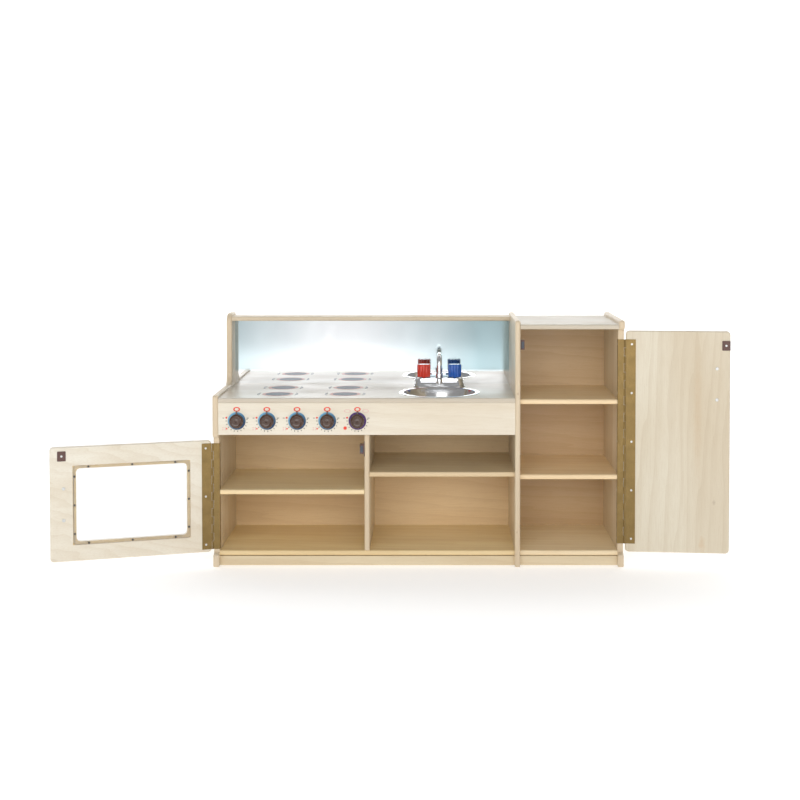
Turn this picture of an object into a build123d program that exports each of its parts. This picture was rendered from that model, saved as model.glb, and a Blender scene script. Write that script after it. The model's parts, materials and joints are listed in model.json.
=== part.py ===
from build123d import *
import os

# Wooden play kitchen: stove and sink unit on the left, refrigerator on the right.
# Frame: +X to the right seen from the front, +Y to the back, +Z up, millimetres.
# Origin: on the floor, under the middle of the left end panel's front foot glide.
# Both doors are modelled standing open, which is the rest pose.

# ---- Cabinet: overall sizes and boards ----
cabinet_width = 1270.0
cabinet_depth = 381.0
cabinet_height = 767.0
glide_height = 4.0
end_thickness = 18.0
divider_thickness = 16.0
shelf_thickness = 15.0
back_thickness = 6.0
worktop_thickness = 16.0
worktop_height = 528.0
bottom_shelf_height = 50.0
oven_width = 449.0
fridge_width = 303.0
oven_shelf_height = 240.0
cupboard_shelf_height = 295.0
fridge_upper_shelf_height = 521.0
fridge_lower_shelf_height = 287.0
top_board_drop = 12.0
rail_drop = 9.0
edge_round = 5.0

# ---- End panels: front lugs above and below the doors, riser beside the mirror ----
left_front_height = 536.0
riser_setback = 296.0
riser_sweep = 35.0
riser_round = 28.0
lug_round = 8.0
lug_sweep = 9.0
hinge_seat_depth = 3.0
hinge_seat_margin = 1.5

# ---- Control panel and toe-kicks ----
control_panel_height = 98.0
control_panel_setback = 3.0
control_panel_thickness = 16.0
toe_kick_setback = 24.0
toe_kick_thickness = 15.0
toe_kick_groove = 2.5
toe_kick_lift = 4.0

# ---- Doors ----
door_recess = 22.0
door_thickness = 18.0
door_gap = 3.0
door_side_gap = 3.0
door_corner = 11.0
door_edge_round = 4.0
door_bottom = 46.0
oven_door_height = 348.0
oven_door_overlap = 16.0
oven_door_open = 163.5
fridge_door_height = 688.0
fridge_door_open = 175.0
lower_lug_gap = 3.0
lug_gap = 5.0
oven_lug_gap = 11.0

# ---- Oven window ----
window_height = 222.0
window_bottom_rail = 59.0
window_hinge_stile = 75.0
window_width = 331.0
window_round = 12.0
rabbet_width = 10.0
rabbet_round = 9.0
rabbet_depth = 4.0
pane_thickness = 3.0
pane_clearance = 0.5
window_screw_corner_x = 36.0
window_screw_corner_z = 24.0
window_screw_head = 1.4
window_screw_length = 13.0

# ---- Continuous hinges ----
knuckle_pitch = 25.4
knuckle_gap = 0.8
knuckle_radius = 2.8
pin_radius = 1.3
pin_clearance = 0.05
pivot_offset = 3.0
leaf_thickness = 1.2
leaf_width = 33.0
leaf_start = 3.0
leaf_flange = 15.0
leaf_screw_inset = 21.0
leaf_screw_margin = 15.0
oven_knuckles = 13
fridge_knuckles = 25
oven_leaf_screws = 3
fridge_leaf_screws = 5

# ---- Wood screws and dowels ----
screw_head_radius = 3.2
screw_shank_radius = 1.5
screw_length = 12.0
back_screw_length = 30.0
back_screw_margin = 40.0
recess_length = 3.6
recess_width = 0.8
recess_depth = 0.9
dowel_radius = 4.0
dowel_in_end = 10.0
dowel_in_divider = 7.0
dowel_in_shelf = 24.0
dowel_inset = 60.0
dowel_stagger = 25.0

# ---- Pull handles ----
pull_spacing = 96.0
pull_height = 28.0
pull_radius = 5.0
pull_bend = 14.0
pull_foot_radius = 7.0
pull_foot_height = 4.0
pull_edge_distance = 40.0
fridge_pull_height = 525.0
pull_bolt_radius = 2.0
pull_bolt_head_radius = 5.0
pull_bolt_head_height = 2.0
pull_bolt_grip = 10.0

# ---- Magnetic catches ----
catch_width = 14.0
catch_height = 30.0
catch_depth = 17.0
catch_plate_height = 46.0
catch_plate_thickness = 1.5
catch_plate_depth = 13.0
catch_screw_spacing = 38.0
catch_air_gap = 0.4
catch_magnet_offset = 1.0
magnet_height = 20.0
magnet_width = 8.0
magnet_depth = 9.0
magnet_proud = 1.0
strike_width = 25.0
strike_height = 30.0
strike_thickness = 1.5
oven_strike_from_divider = 18.5
oven_catch_height = 366.5
fridge_catch_height = 690.0

# ---- Knobs ----
knob_pitch = 93.0
first_knob_from_left = 57.0
knob_height = 457.0
knob_radius = 21.8
knob_body = 17.0
knob_round = 5.0
knob_dimple_radius = 3.0
knob_dimple_depth = 1.5
knob_pointer_reach = 30.5
knob_pointer_width = 5.0
knob_pointer_height = 7.0
knob_pointer_chamfer = 1.6
knob_stem_radius = 5.0
knob_clearance = 0.05
knob_air_gap = 0.4
bushing_wall = 3.0
bushing_flange_radius = 11.0
bushing_flange = 1.0
knob_barb_radius = 6.2
knob_barb_length = 4.0
print_thickness = 0.3
dial_ring_radius = 27.5

# ---- Burners, sink and faucet ----
burner_radius = 64.0
burner_from_left = 191.0
burner_spacing = 212.0
burner_front_depth = 97.0
burner_back_depth = 258.0
sink_from_divider = 233.0
sink_depth_from_front = 138.0
sink_rim_radius = 128.0
sink_bowl_radius = 114.5
sink_floor_radius = 84.0
sink_bowl_depth = 95.0
sink_wall = 1.0
sink_rim_height = 1.6
sink_hole_clearance = 1.0
clip_width = 14.0
clip_reach = 20.0
clip_drop = 14.0
clip_metal = 1.5
faucet_setback = 290.0
faucet_spacing = 101.6
faucet_base_length = 168.0
faucet_base_width = 46.0
faucet_base_height = 28.0
faucet_base_taper = 20.0
faucet_hub_height = 34.0
faucet_hub_radius = 12.5
faucet_bore_depth = 14.0
shank_radius = 6.0
shank_length = 38.0
shank_nut_flats = 20.0
shank_nut_height = 7.0
shank_washer_radius = 13.0
shank_washer_height = 2.0
spout_stem_radius = 6.0
spout_radius = 8.0
spout_height = 108.0
spout_reach = 96.0
spout_drop = 30.0
spout_bend = 28.0
spout_collar_radius = 12.0
spout_collar_height = 10.0
aerator_radius = 10.0
aerator_height = 16.0
handle_radius = 22.5
handle_height = 45.0
handle_flutes = 10
handle_flute_radius = 3.4
handle_stem_radius = 5.0
handle_air_gap = 0.5
turn_clearance = 0.05

# ---- Foot glides ----
glide_radius = 7.5
glide_nail_radius = 1.5
glide_nail_length = 15.0
glide_inset = 26.0

# ---- Places worked out from the sizes above ----
front = -glide_inset
back = front + cabinet_depth
left_out = -end_thickness / 2
left_in = left_out + end_thickness
right_out = left_out + cabinet_width
right_in = right_out - end_thickness
oven_right = left_in + oven_width
cupboard_left = oven_right + divider_thickness
fridge_left = right_in - fridge_width
cupboard_right = fridge_left - divider_thickness
back_face = back - back_thickness
recess_plane = front + door_recess
hinge_y = recess_plane - door_gap / 2
door_inner = recess_plane - door_gap
door_outer = door_inner - door_thickness
worktop_under = worktop_height - worktop_thickness
bottom_shelf_under = bottom_shelf_height - shelf_thickness
control_bottom = worktop_under - control_panel_height
control_front = front + control_panel_setback
control_back = control_front + control_panel_thickness
top_board_top = cabinet_height - top_board_drop
rail_top = cabinet_height - rail_drop
rail_under = rail_top - shelf_thickness
oven_door_top = door_bottom + oven_door_height
fridge_door_top = door_bottom + fridge_door_height
lower_lug_top = door_bottom - lower_lug_gap
oven_pivot_x = left_out - pivot_offset
fridge_pivot_x = right_out + pivot_offset
oven_door_end = oven_right + oven_door_overlap
fridge_door_end = fridge_left + door_side_gap
sink_x = cupboard_right - sink_from_divider
sink_y = front + sink_depth_from_front
faucet_y = front + faucet_setback
knob_xs = [left_in + first_knob_from_left + knob_pitch * n for n in range(5)]

nodes = {}


# ---- General shapes ----

def block(x0, x1, y0, y1, z0, z1):
    """A square-edged board between six planes."""
    middle = Pos((x0 + x1) / 2, (y0 + y1) / 2, (z0 + z1) / 2)
    return middle * Box(x1 - x0, y1 - y0, z1 - z0)


def shelf(x0, x1, y0, y1, top):
    """A horizontal board with a rounded front edge, its top face at the height given."""
    board = block(x0, x1, y0, y1, top - shelf_thickness, top)
    front_edges = board.edges().filter_by(Axis.X).group_by(Axis.Y)[0]
    return fillet(front_edges, edge_round)


def outline_panel(corners, x0, thickness):
    """An upright panel from (y, z, radius) corners, its front and top edges rounded over."""
    points = [(y, z) for y, z, _ in corners]
    radii = [radius for _, _, radius in corners]
    outline = make_face(FilletPolyline(*points, radius=radii, close=True).edges())
    panel = Pos(x0, 0, 0) * extrude(Plane.YZ * outline, thickness)
    y_back = max(point[0] for point in points)
    z_low = min(point[1] for point in points)
    rim = []
    for edge in panel.edges():
        middle = edge.center()
        on_side = min(abs(middle.X - x0), abs(middle.X - x0 - thickness)) < 0.01
        if on_side and middle.Y < y_back - 1 and middle.Z > z_low + 1:
            rim.append(edge)
    return fillet(rim, edge_round)


def pivot_turn(piece, pivot_x, angle):
    """Turns a piece about an upright hinge pin."""
    pin = Pos(pivot_x, hinge_y, 0)
    unpin = Pos(-pivot_x, -hinge_y, 0)
    return pin * Rot(0, 0, angle) * unpin * piece


def swing_oven(piece):
    """Carries a piece from the closed oven door to the open one."""
    return pivot_turn(piece, oven_pivot_x, -oven_door_open)


def swing_fridge(piece):
    """Carries a piece from the closed refrigerator door to the open one."""
    return pivot_turn(piece, fridge_pivot_x, fridge_door_open)


def flat_head_screw(length=screw_length, recessed=True):
    """A countersunk screw, its flat head at z = 0 and its shank pointing down."""
    cone_height = screw_head_radius - screw_shank_radius
    head = Pos(0, 0, -cone_height / 2) * Cone(screw_shank_radius, screw_head_radius, cone_height)
    shank = Pos(0, 0, -length / 2) * Cylinder(screw_shank_radius, length)
    screw = head + shank
    if recessed:
        slot = Pos(0, 0, -recess_depth / 2) * Box(recess_length, recess_width, recess_depth)
        screw = screw - slot - Rot(0, 0, 90) * slot
    return screw


def spread(low, high, count):
    """Evenly spaced values from low to high."""
    return [low + (high - low) * n / (count - 1) for n in range(count)]


# ---- Dowels in the board joints ----

def dowel_pair(x_face, side, height, y0, y1, depth_in_panel):
    """Two dowels from an upright panel's face into the end of a level board."""
    x0 = x_face - depth_in_panel * side
    x1 = x_face + dowel_in_shelf * side
    pair = []
    for y in (y0 + dowel_inset, y1 - dowel_inset):
        dowel = Rot(0, 90, 0) * Cylinder(dowel_radius, abs(x1 - x0))
        pair.append(Pos((x0 + x1) / 2, y, height) * dowel)
    return pair


def make_dowels():
    """Every hidden dowel, each one a separate peg."""
    half = shelf_thickness / 2
    low = bottom_shelf_height - half
    full = (front, back_face)
    inner = (recess_plane, back_face)
    staggered = (recess_plane + dowel_stagger, back_face - dowel_stagger)
    pegs = []
    pegs += dowel_pair(left_in, 1, low, *inner, dowel_in_end)
    pegs += dowel_pair(cupboard_right, -1, low, *inner, dowel_in_divider)
    pegs += dowel_pair(fridge_left, 1, low, *staggered, dowel_in_divider)
    pegs += dowel_pair(right_in, -1, low, *inner, dowel_in_end)
    pegs += dowel_pair(left_in, 1, oven_shelf_height - half, *inner, dowel_in_end)
    pegs += dowel_pair(oven_right, -1, oven_shelf_height - half, *inner, dowel_in_divider)
    pegs += dowel_pair(cupboard_left, 1, cupboard_shelf_height - half, *inner, dowel_in_divider)
    pegs += dowel_pair(cupboard_right, -1, cupboard_shelf_height - half, *inner, dowel_in_divider)
    for height in (fridge_upper_shelf_height, fridge_lower_shelf_height):
        pegs += dowel_pair(fridge_left, 1, height - half, *inner, dowel_in_divider)
        pegs += dowel_pair(right_in, -1, height - half, *inner, dowel_in_end)
    top = top_board_top - half
    pegs += dowel_pair(fridge_left, 1, top, *full, dowel_in_divider)
    pegs += dowel_pair(right_in, -1, top, *full, dowel_in_end)
    counter = worktop_height - worktop_thickness / 2
    pegs += dowel_pair(left_in, 1, counter, *full, dowel_in_end)
    pegs += dowel_pair(cupboard_right, -1, counter, *full, dowel_in_divider)
    return pegs


dowels = make_dowels()


def drilled(board, holes):
    """A board with a hole for each peg or screw that enters it."""
    box = board.bounding_box()
    for hole in holes:
        reach = hole.bounding_box()
        apart_x = reach.min.X > box.max.X or reach.max.X < box.min.X
        apart_y = reach.min.Y > box.max.Y or reach.max.Y < box.min.Y
        apart_z = reach.min.Z > box.max.Z or reach.max.Z < box.min.Z
        if not (apart_x or apart_y or apart_z):
            board = board - hole
    return board


# ---- Continuous hinges ----

def hinge_leaf(knuckles, first, side, in_door, middle_z):
    """One leaf about a pin at x = y = 0; side is +1 when the leaf lies towards +X.

    The cabinet leaf wraps round the panel's edge onto its inner face, the door leaf is flat.
    """
    length = knuckles * knuckle_pitch
    bottom = middle_z - length / 2
    y_sign = -1 if in_door else 1
    y_near = (door_gap / 2 - leaf_thickness) * y_sign
    y_far = door_gap / 2 * y_sign
    reach = leaf_width if in_door else pivot_offset + end_thickness + leaf_thickness
    y0, y1 = sorted((y_near, y_far))
    x0, x1 = sorted((leaf_start * side, reach * side))
    leaf = block(x0, x1, y0, y1, bottom, bottom + length)
    if not in_door:
        inner = (reach - leaf_thickness) * side
        f0, f1 = sorted((inner, reach * side))
        leaf = leaf + block(f0, f1, y0, y_far + leaf_flange, bottom, bottom + length)
    t0, t1 = sorted((0.0, (leaf_start + 0.1) * side))
    for n in range(first, knuckles, 2):
        z0 = bottom + n * knuckle_pitch + knuckle_gap / 2
        z1 = bottom + (n + 1) * knuckle_pitch - knuckle_gap / 2
        barrel = Pos(0, 0, (z0 + z1) / 2) * Cylinder(knuckle_radius, z1 - z0)
        leaf = leaf + barrel + block(t0, t1, y0, y1, z0, z1)
    bore = pin_radius + (pin_clearance if in_door else 0.0)
    return leaf - Pos(0, 0, middle_z) * Cylinder(bore, length + 2)


def hinge_screw_heights(knuckles, count, middle_z):
    """Heights of the screws along one leaf."""
    half = knuckles * knuckle_pitch / 2 - leaf_screw_margin
    return spread(middle_z - half, middle_z + half, count)


def door_leaf_screws(pivot_x, side, heights, recessed):
    """Screws through the flat leaf into the door's inner face."""
    face_y = hinge_y - door_gap / 2 + leaf_thickness
    x = pivot_x + leaf_screw_inset * side
    screw = Rot(-90, 0, 0) * flat_head_screw(recessed=recessed)
    return [Pos(x, face_y, z) * screw for z in heights]


def cabinet_leaf_screws(inner_x, side, heights, recessed):
    """Screws through the leaf's flange into the panel's inner face."""
    turn = Rot(0, 90 * side, 0)
    x = inner_x + leaf_thickness * side
    y = recess_plane + leaf_flange / 2
    screw = turn * flat_head_screw(recessed=recessed)
    return [Pos(x, y, z) * screw for z in heights]


def hinge_pin(knuckles, pivot_x, middle_z):
    """The wire pin through all the knuckles."""
    return Pos(pivot_x, hinge_y, middle_z) * Cylinder(pin_radius, knuckles * knuckle_pitch)


oven_hinge_z = door_bottom + oven_door_height / 2
fridge_hinge_z = door_bottom + fridge_door_height / 2
oven_screw_zs = hinge_screw_heights(oven_knuckles, oven_leaf_screws, oven_hinge_z)
fridge_screw_zs = hinge_screw_heights(fridge_knuckles, fridge_leaf_screws, fridge_hinge_z)
oven_flange_holes = cabinet_leaf_screws(left_in, 1, oven_screw_zs, False)
fridge_flange_holes = cabinet_leaf_screws(right_in, -1, fridge_screw_zs, False)


def make_hinges():
    """Both continuous hinges, with their pins and the screws of their cabinet leaves."""
    oven_pin = Pos(oven_pivot_x, hinge_y, 0)
    fridge_pin = Pos(fridge_pivot_x, hinge_y, 0)
    leaf = oven_pin * hinge_leaf(oven_knuckles, 0, 1, False, oven_hinge_z)
    nodes["oven_hinge_cabinet_leaf"] = drilled(leaf, oven_flange_holes)
    nodes["oven_hinge_pin"] = hinge_pin(oven_knuckles, oven_pivot_x, oven_hinge_z)
    leaf = fridge_pin * hinge_leaf(fridge_knuckles, 0, -1, False, fridge_hinge_z)
    nodes["fridge_hinge_cabinet_leaf"] = drilled(leaf, fridge_flange_holes)
    nodes["fridge_hinge_pin"] = hinge_pin(fridge_knuckles, fridge_pivot_x, fridge_hinge_z)
    screws = cabinet_leaf_screws(left_in, 1, oven_screw_zs, True)
    screws += cabinet_leaf_screws(right_in, -1, fridge_screw_zs, True)
    nodes["hinge_cabinet_screws"] = Compound(screws)


# ---- Magnetic catches ----

def catch_places():
    """Face of the divider, side the catch stands out to, and height, for both catches."""
    return [(oven_right, -1, oven_catch_height), (fridge_left, 1, fridge_catch_height)]


def catch_screw_holes(recessed):
    """Screws through both ends of each catch's mounting plate."""
    screws = []
    y = catch_front_y() + magnet_proud + catch_plate_depth / 2
    for face_x, side, height in catch_places():
        turn = Rot(0, 90 * side, 0)
        x = face_x + catch_plate_thickness * side
        for offset in (-catch_screw_spacing / 2, catch_screw_spacing / 2):
            screw = turn * flat_head_screw(recessed=recessed)
            screws.append(Pos(x, y, height + offset) * screw)
    return screws


def catch_front_y():
    """The magnet's face, just behind the strike plate of the closed door."""
    return door_inner + strike_thickness + catch_air_gap


def make_catches():
    """Plastic catch housings, their magnets and their screws."""
    housings = []
    magnets = []
    y0 = catch_front_y()
    y1 = y0 + magnet_proud
    for face_x, side, height in catch_places():
        low = height - catch_height / 2
        high = height + catch_height / 2
        x0, x1 = sorted((face_x, face_x + catch_width * side))
        body = block(x0, x1, y1, y1 + catch_depth, low, high)
        body = chamfer(body.edges().filter_by(Axis.Y), 1.0)
        p0, p1 = sorted((face_x, face_x + catch_plate_thickness * side))
        plate_low = height - catch_plate_height / 2
        plate_high = height + catch_plate_height / 2
        body = body + block(p0, p1, y1, y1 + catch_plate_depth, plate_low, plate_high)
        middle = face_x + (catch_width / 2 + catch_magnet_offset) * side
        m0 = middle - magnet_width / 2
        m1 = middle + magnet_width / 2
        m_low = height - magnet_height / 2
        m_high = height + magnet_height / 2
        magnet = block(m0, m1, y0, y0 + magnet_depth, m_low, m_high)
        housings.append(drilled(body - magnet, catch_screw_holes(False)))
        magnets.append(magnet)
    nodes["catch_housings"] = Compound(housings)
    nodes["catch_magnets"] = Compound(magnets)
    nodes["catch_screws"] = Compound(catch_screw_holes(True))


# ---- Back panel screws and foot glides ----

def back_screws(recessed):
    """Screws through the back panels into the rear edges of the level boards."""
    half = shelf_thickness / 2
    stove_zs = (bottom_shelf_height - half, worktop_height - half, rail_top - half)
    fridge_zs = (bottom_shelf_height - half, fridge_lower_shelf_height - half,
                 fridge_upper_shelf_height - half, top_board_top - half)
    margin = back_screw_margin
    screw = Rot(-90, 0, 0) * flat_head_screw(back_screw_length, recessed)
    screws = []
    for z in stove_zs:
        for x in spread(left_in + margin, cupboard_right - margin, 4):
            screws.append(Pos(x, back, z) * screw)
    for z in fridge_zs:
        for x in spread(fridge_left + margin, right_in - margin, 2):
            screws.append(Pos(x, back, z) * screw)
    return screws


def glide_places():
    """Middle of each glide under the four upright panels that reach the floor."""
    xs = (left_out + end_thickness / 2, cupboard_right + divider_thickness / 2,
          right_out - end_thickness / 2)
    return [(x, y) for x in xs for y in (front + glide_inset, back - glide_inset)]


def make_glides():
    """Nail-on foot glides: a domed pad and a nail."""
    glides = []
    for x, y in glide_places():
        pad = Cylinder(glide_radius, glide_height)
        pad = fillet(pad.edges().group_by(Axis.Z)[0], 1.5)
        nail = Pos(0, 0, (glide_height + glide_nail_length) / 2)
        pad = pad + nail * Cylinder(glide_nail_radius, glide_nail_length)
        glides.append(Pos(x, y, glide_height / 2) * pad)
    return glides


# ---- Boards of the cabinet ----

def make_panels():
    """End panels, tall divider and short divider."""
    glides = make_glides()
    z0 = glide_height
    notch = door_recess - hinge_seat_depth
    upper_lug = oven_door_top + oven_lug_gap
    corners = [(front, z0, 0), (front, lower_lug_top, lug_round),
               (front + notch, lower_lug_top, lug_sweep), (front + notch, upper_lug, lug_sweep),
               (front, upper_lug, lug_round), (front, left_front_height, lug_round),
               (front + riser_setback, left_front_height, riser_sweep),
               (front + riser_setback, cabinet_height, riser_round),
               (back, cabinet_height, 0), (back, z0, 0)]
    panel = outline_panel(corners, left_out, end_thickness)
    seat = oven_door_height / 2 + hinge_seat_margin
    panel = panel - block(left_out - 1, left_in + 1, front, recess_plane,
                          oven_hinge_z - seat, oven_hinge_z + seat)
    nodes["left_end_panel"] = drilled(panel, dowels + oven_flange_holes + glides)

    upper_lug = fridge_door_top + lug_gap
    corners = [(front, z0, 0), (front, lower_lug_top, lug_round),
               (front + notch, lower_lug_top, lug_sweep), (front + notch, upper_lug, lug_sweep),
               (front, upper_lug, lug_round), (front, cabinet_height, lug_round),
               (back, cabinet_height, lug_round), (back, z0, 0)]
    panel = outline_panel(corners, right_in, end_thickness)
    seat = fridge_door_height / 2 + hinge_seat_margin
    panel = panel - block(right_in - 1, right_out + 1, front, recess_plane,
                          fridge_hinge_z - seat, fridge_hinge_z + seat)
    nodes["right_end_panel"] = drilled(panel, dowels + fridge_flange_holes + glides)

    corners = [(front, z0, 0), (front, cabinet_height, lug_round),
               (back, cabinet_height, lug_round), (back, z0, 0)]
    panel = outline_panel(corners, cupboard_right, divider_thickness)
    nodes["tall_divider"] = drilled(panel, dowels + catch_screw_holes(False) + glides)

    board = block(oven_right, cupboard_left, recess_plane, back_face,
                  bottom_shelf_height, worktop_under)
    front_edges = board.edges().filter_by(Axis.Z).group_by(Axis.Y)[0]
    board = fillet(front_edges, edge_round)
    nodes["oven_divider"] = drilled(board, dowels + catch_screw_holes(False))
    nodes["foot_glides"] = Compound(glides)


def make_shelves():
    """Level boards, notched where a hinge leaf's flange passes their corner."""
    holes = dowels + back_screws(False)
    leaf_room = leaf_thickness + 0.5
    flange_back = recess_plane + leaf_flange + 0.5
    high = worktop_under
    oven_notch = block(left_in, left_in + leaf_room, front, flange_back, door_bottom, high)
    fridge_notch = block(right_in - leaf_room, right_in, front, flange_back,
                         door_bottom, fridge_door_top)
    board = shelf(left_in, cupboard_right, recess_plane, back_face, bottom_shelf_height)
    nodes["stove_bottom_shelf"] = drilled(board, holes)
    board = shelf(fridge_left, right_in, recess_plane, back_face, bottom_shelf_height)
    nodes["fridge_bottom_shelf"] = drilled(board, holes)
    board = shelf(left_in, oven_right, recess_plane, back_face, oven_shelf_height)
    nodes["oven_shelf"] = drilled(board - oven_notch, holes)
    board = shelf(cupboard_left, cupboard_right, recess_plane, back_face, cupboard_shelf_height)
    nodes["cupboard_shelf"] = drilled(board, holes)
    board = shelf(fridge_left, right_in, recess_plane, back_face, fridge_upper_shelf_height)
    nodes["fridge_upper_shelf"] = drilled(board - fridge_notch, holes)
    board = shelf(fridge_left, right_in, recess_plane, back_face, fridge_lower_shelf_height)
    nodes["fridge_lower_shelf"] = drilled(board - fridge_notch, holes)
    board = shelf(fridge_left, right_in, front, back_face, top_board_top)
    nodes["fridge_top_board"] = drilled(board, holes)
    board = shelf(left_in, cupboard_right, front + riser_setback, back_face, rail_top)
    nodes["mirror_top_shelf"] = drilled(board, holes)


def make_worktop():
    """Worktop with the sink cut-out and the faucet's two shank holes."""
    board = block(left_in, cupboard_right, front, back_face, worktop_under, worktop_height)
    front_edges = board.edges().filter_by(Axis.X).group_by(Axis.Y)[0]
    board = fillet(front_edges, edge_round)
    hole_z = (worktop_under + worktop_height) / 2
    cut_out = Cylinder(sink_bowl_radius + sink_hole_clearance, worktop_thickness + 2)
    board = board - Pos(sink_x, sink_y, hole_z) * cut_out
    for side in (-1, 1):
        shank_hole = Cylinder(shank_radius, worktop_thickness + 2)
        place = Pos(sink_x + side * faucet_spacing / 2, faucet_y, hole_z)
        board = board - place * shank_hole
    nodes["worktop"] = drilled(board, dowels + back_screws(False))


def make_fronts_and_backs():
    """Control panel, toe-kicks, back panels and mirror."""
    board = block(left_in, cupboard_right, control_front, control_back,
                  control_bottom, worktop_under)
    bushing_hole = Rot(90, 0, 0) * Cylinder(knob_bore() + bushing_wall, control_panel_thickness + 2)
    for x in knob_xs:
        board = board - Pos(x, (control_front + control_back) / 2, knob_height) * bushing_hole
    nodes["control_panel"] = board
    kick_front = front + toe_kick_setback
    kick_back = kick_front + toe_kick_thickness
    kick_top = bottom_shelf_under - toe_kick_groove
    nodes["stove_toe_kick"] = block(left_in, cupboard_right, kick_front, kick_back,
                                    toe_kick_lift, kick_top)
    nodes["fridge_toe_kick"] = block(fridge_left, right_in, kick_front, kick_back,
                                     toe_kick_lift, kick_top)
    board = block(left_in, cupboard_right, back_face, back, bottom_shelf_under, rail_top)
    nodes["stove_back_panel"] = drilled(board, back_screws(False))
    board = block(fridge_left, right_in, back_face, back, bottom_shelf_under, top_board_top)
    nodes["fridge_back_panel"] = drilled(board, back_screws(False))
    nodes["mirror"] = block(left_in, cupboard_right, back_face - pane_thickness, back_face,
                            worktop_height, rail_under)
    nodes["back_panel_screws"] = Compound(back_screws(True))
    nodes["joint_dowels"] = Compound(dowels)


# ---- Doors ----

def door_board(x0, x1, z0, z1):
    """A closed door's board with rounded corners and edges."""
    board = block(x0, x1, door_outer, door_inner, z0, z1)
    board = fillet(board.edges().filter_by(Axis.Y), door_corner)
    rim = board.edges().filter_by(Axis.Y, reverse=True)
    return fillet(rim, door_edge_round)


def rounded_window(x0, x1, y0, y1, z0, z1, radius):
    """A block with its four corners rounded in the door's plane."""
    hole = block(x0, x1, y0, y1, z0, z1)
    return fillet(hole.edges().filter_by(Axis.Y), radius)


def pull_holes(x, middle_z):
    """Clearance-free bolt holes of a pull handle, straight through a door."""
    hole = Rot(90, 0, 0) * Cylinder(pull_bolt_radius, door_thickness + 2)
    y = (door_inner + door_outer) / 2
    return [Pos(x, y, middle_z + side * pull_spacing / 2) * hole for side in (-1, 1)]


def pull_handle(x, middle_z):
    """A bent round-bar pull on the door's outer face, drilled for its two bolts."""
    half = pull_spacing / 2
    points = [(x, door_outer, middle_z - half), (x, door_outer - pull_height, middle_z - half),
              (x, door_outer - pull_height, middle_z + half), (x, door_outer, middle_z + half)]
    path = FilletPolyline(*points, radius=pull_bend)
    start = Plane(origin=points[0], z_dir=(0, -1, 0))
    handle = sweep(start * Circle(pull_radius), path=path)
    for side in (-1, 1):
        foot = Rot(90, 0, 0) * Cylinder(pull_foot_radius, pull_foot_height)
        foot = Pos(x, door_outer - pull_foot_height / 2, middle_z + side * half) * foot
        handle = handle + foot
    grip = Rot(90, 0, 0) * Cylinder(pull_bolt_radius, pull_bolt_grip)
    for side in (-1, 1):
        handle = handle - Pos(x, door_outer - pull_bolt_grip / 2, middle_z + side * half) * grip
    return handle


def pull_bolts(x, middle_z):
    """Two pan-head machine bolts from the door's inner face into the pull."""
    length = door_thickness + pull_bolt_grip
    bolts = []
    for side in (-1, 1):
        head = Pos(0, 0, pull_bolt_head_height / 2)
        head = head * Cylinder(pull_bolt_head_radius, pull_bolt_head_height)
        head = fillet(head.edges().group_by(Axis.Z)[-1], 0.9)
        slot = Pos(0, 0, pull_bolt_head_height) * Box(4.4, 1.0, 2 * recess_depth)
        bolt = head + Pos(0, 0, -length / 2) * Cylinder(pull_bolt_radius, length)
        bolt = bolt - slot - Rot(0, 0, 90) * slot
        place = Pos(x, door_inner, middle_z + side * pull_spacing / 2)
        bolts.append(place * Rot(-90, 0, 0) * bolt)
    return bolts


def strike_plate(x, z):
    """The steel plate that meets the catch's magnet, on the door's inner face."""
    plate = block(x - strike_width / 2, x + strike_width / 2, door_inner,
                  door_inner + strike_thickness, z - strike_height / 2, z + strike_height / 2)
    return fillet(plate.edges().filter_by(Axis.Y), 2.0)


def strike_screw(x, z, recessed):
    """The one screw in a strike plate."""
    place = Pos(x, door_inner + strike_thickness, z)
    return place * Rot(-90, 0, 0) * flat_head_screw(recessed=recessed)


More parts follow.
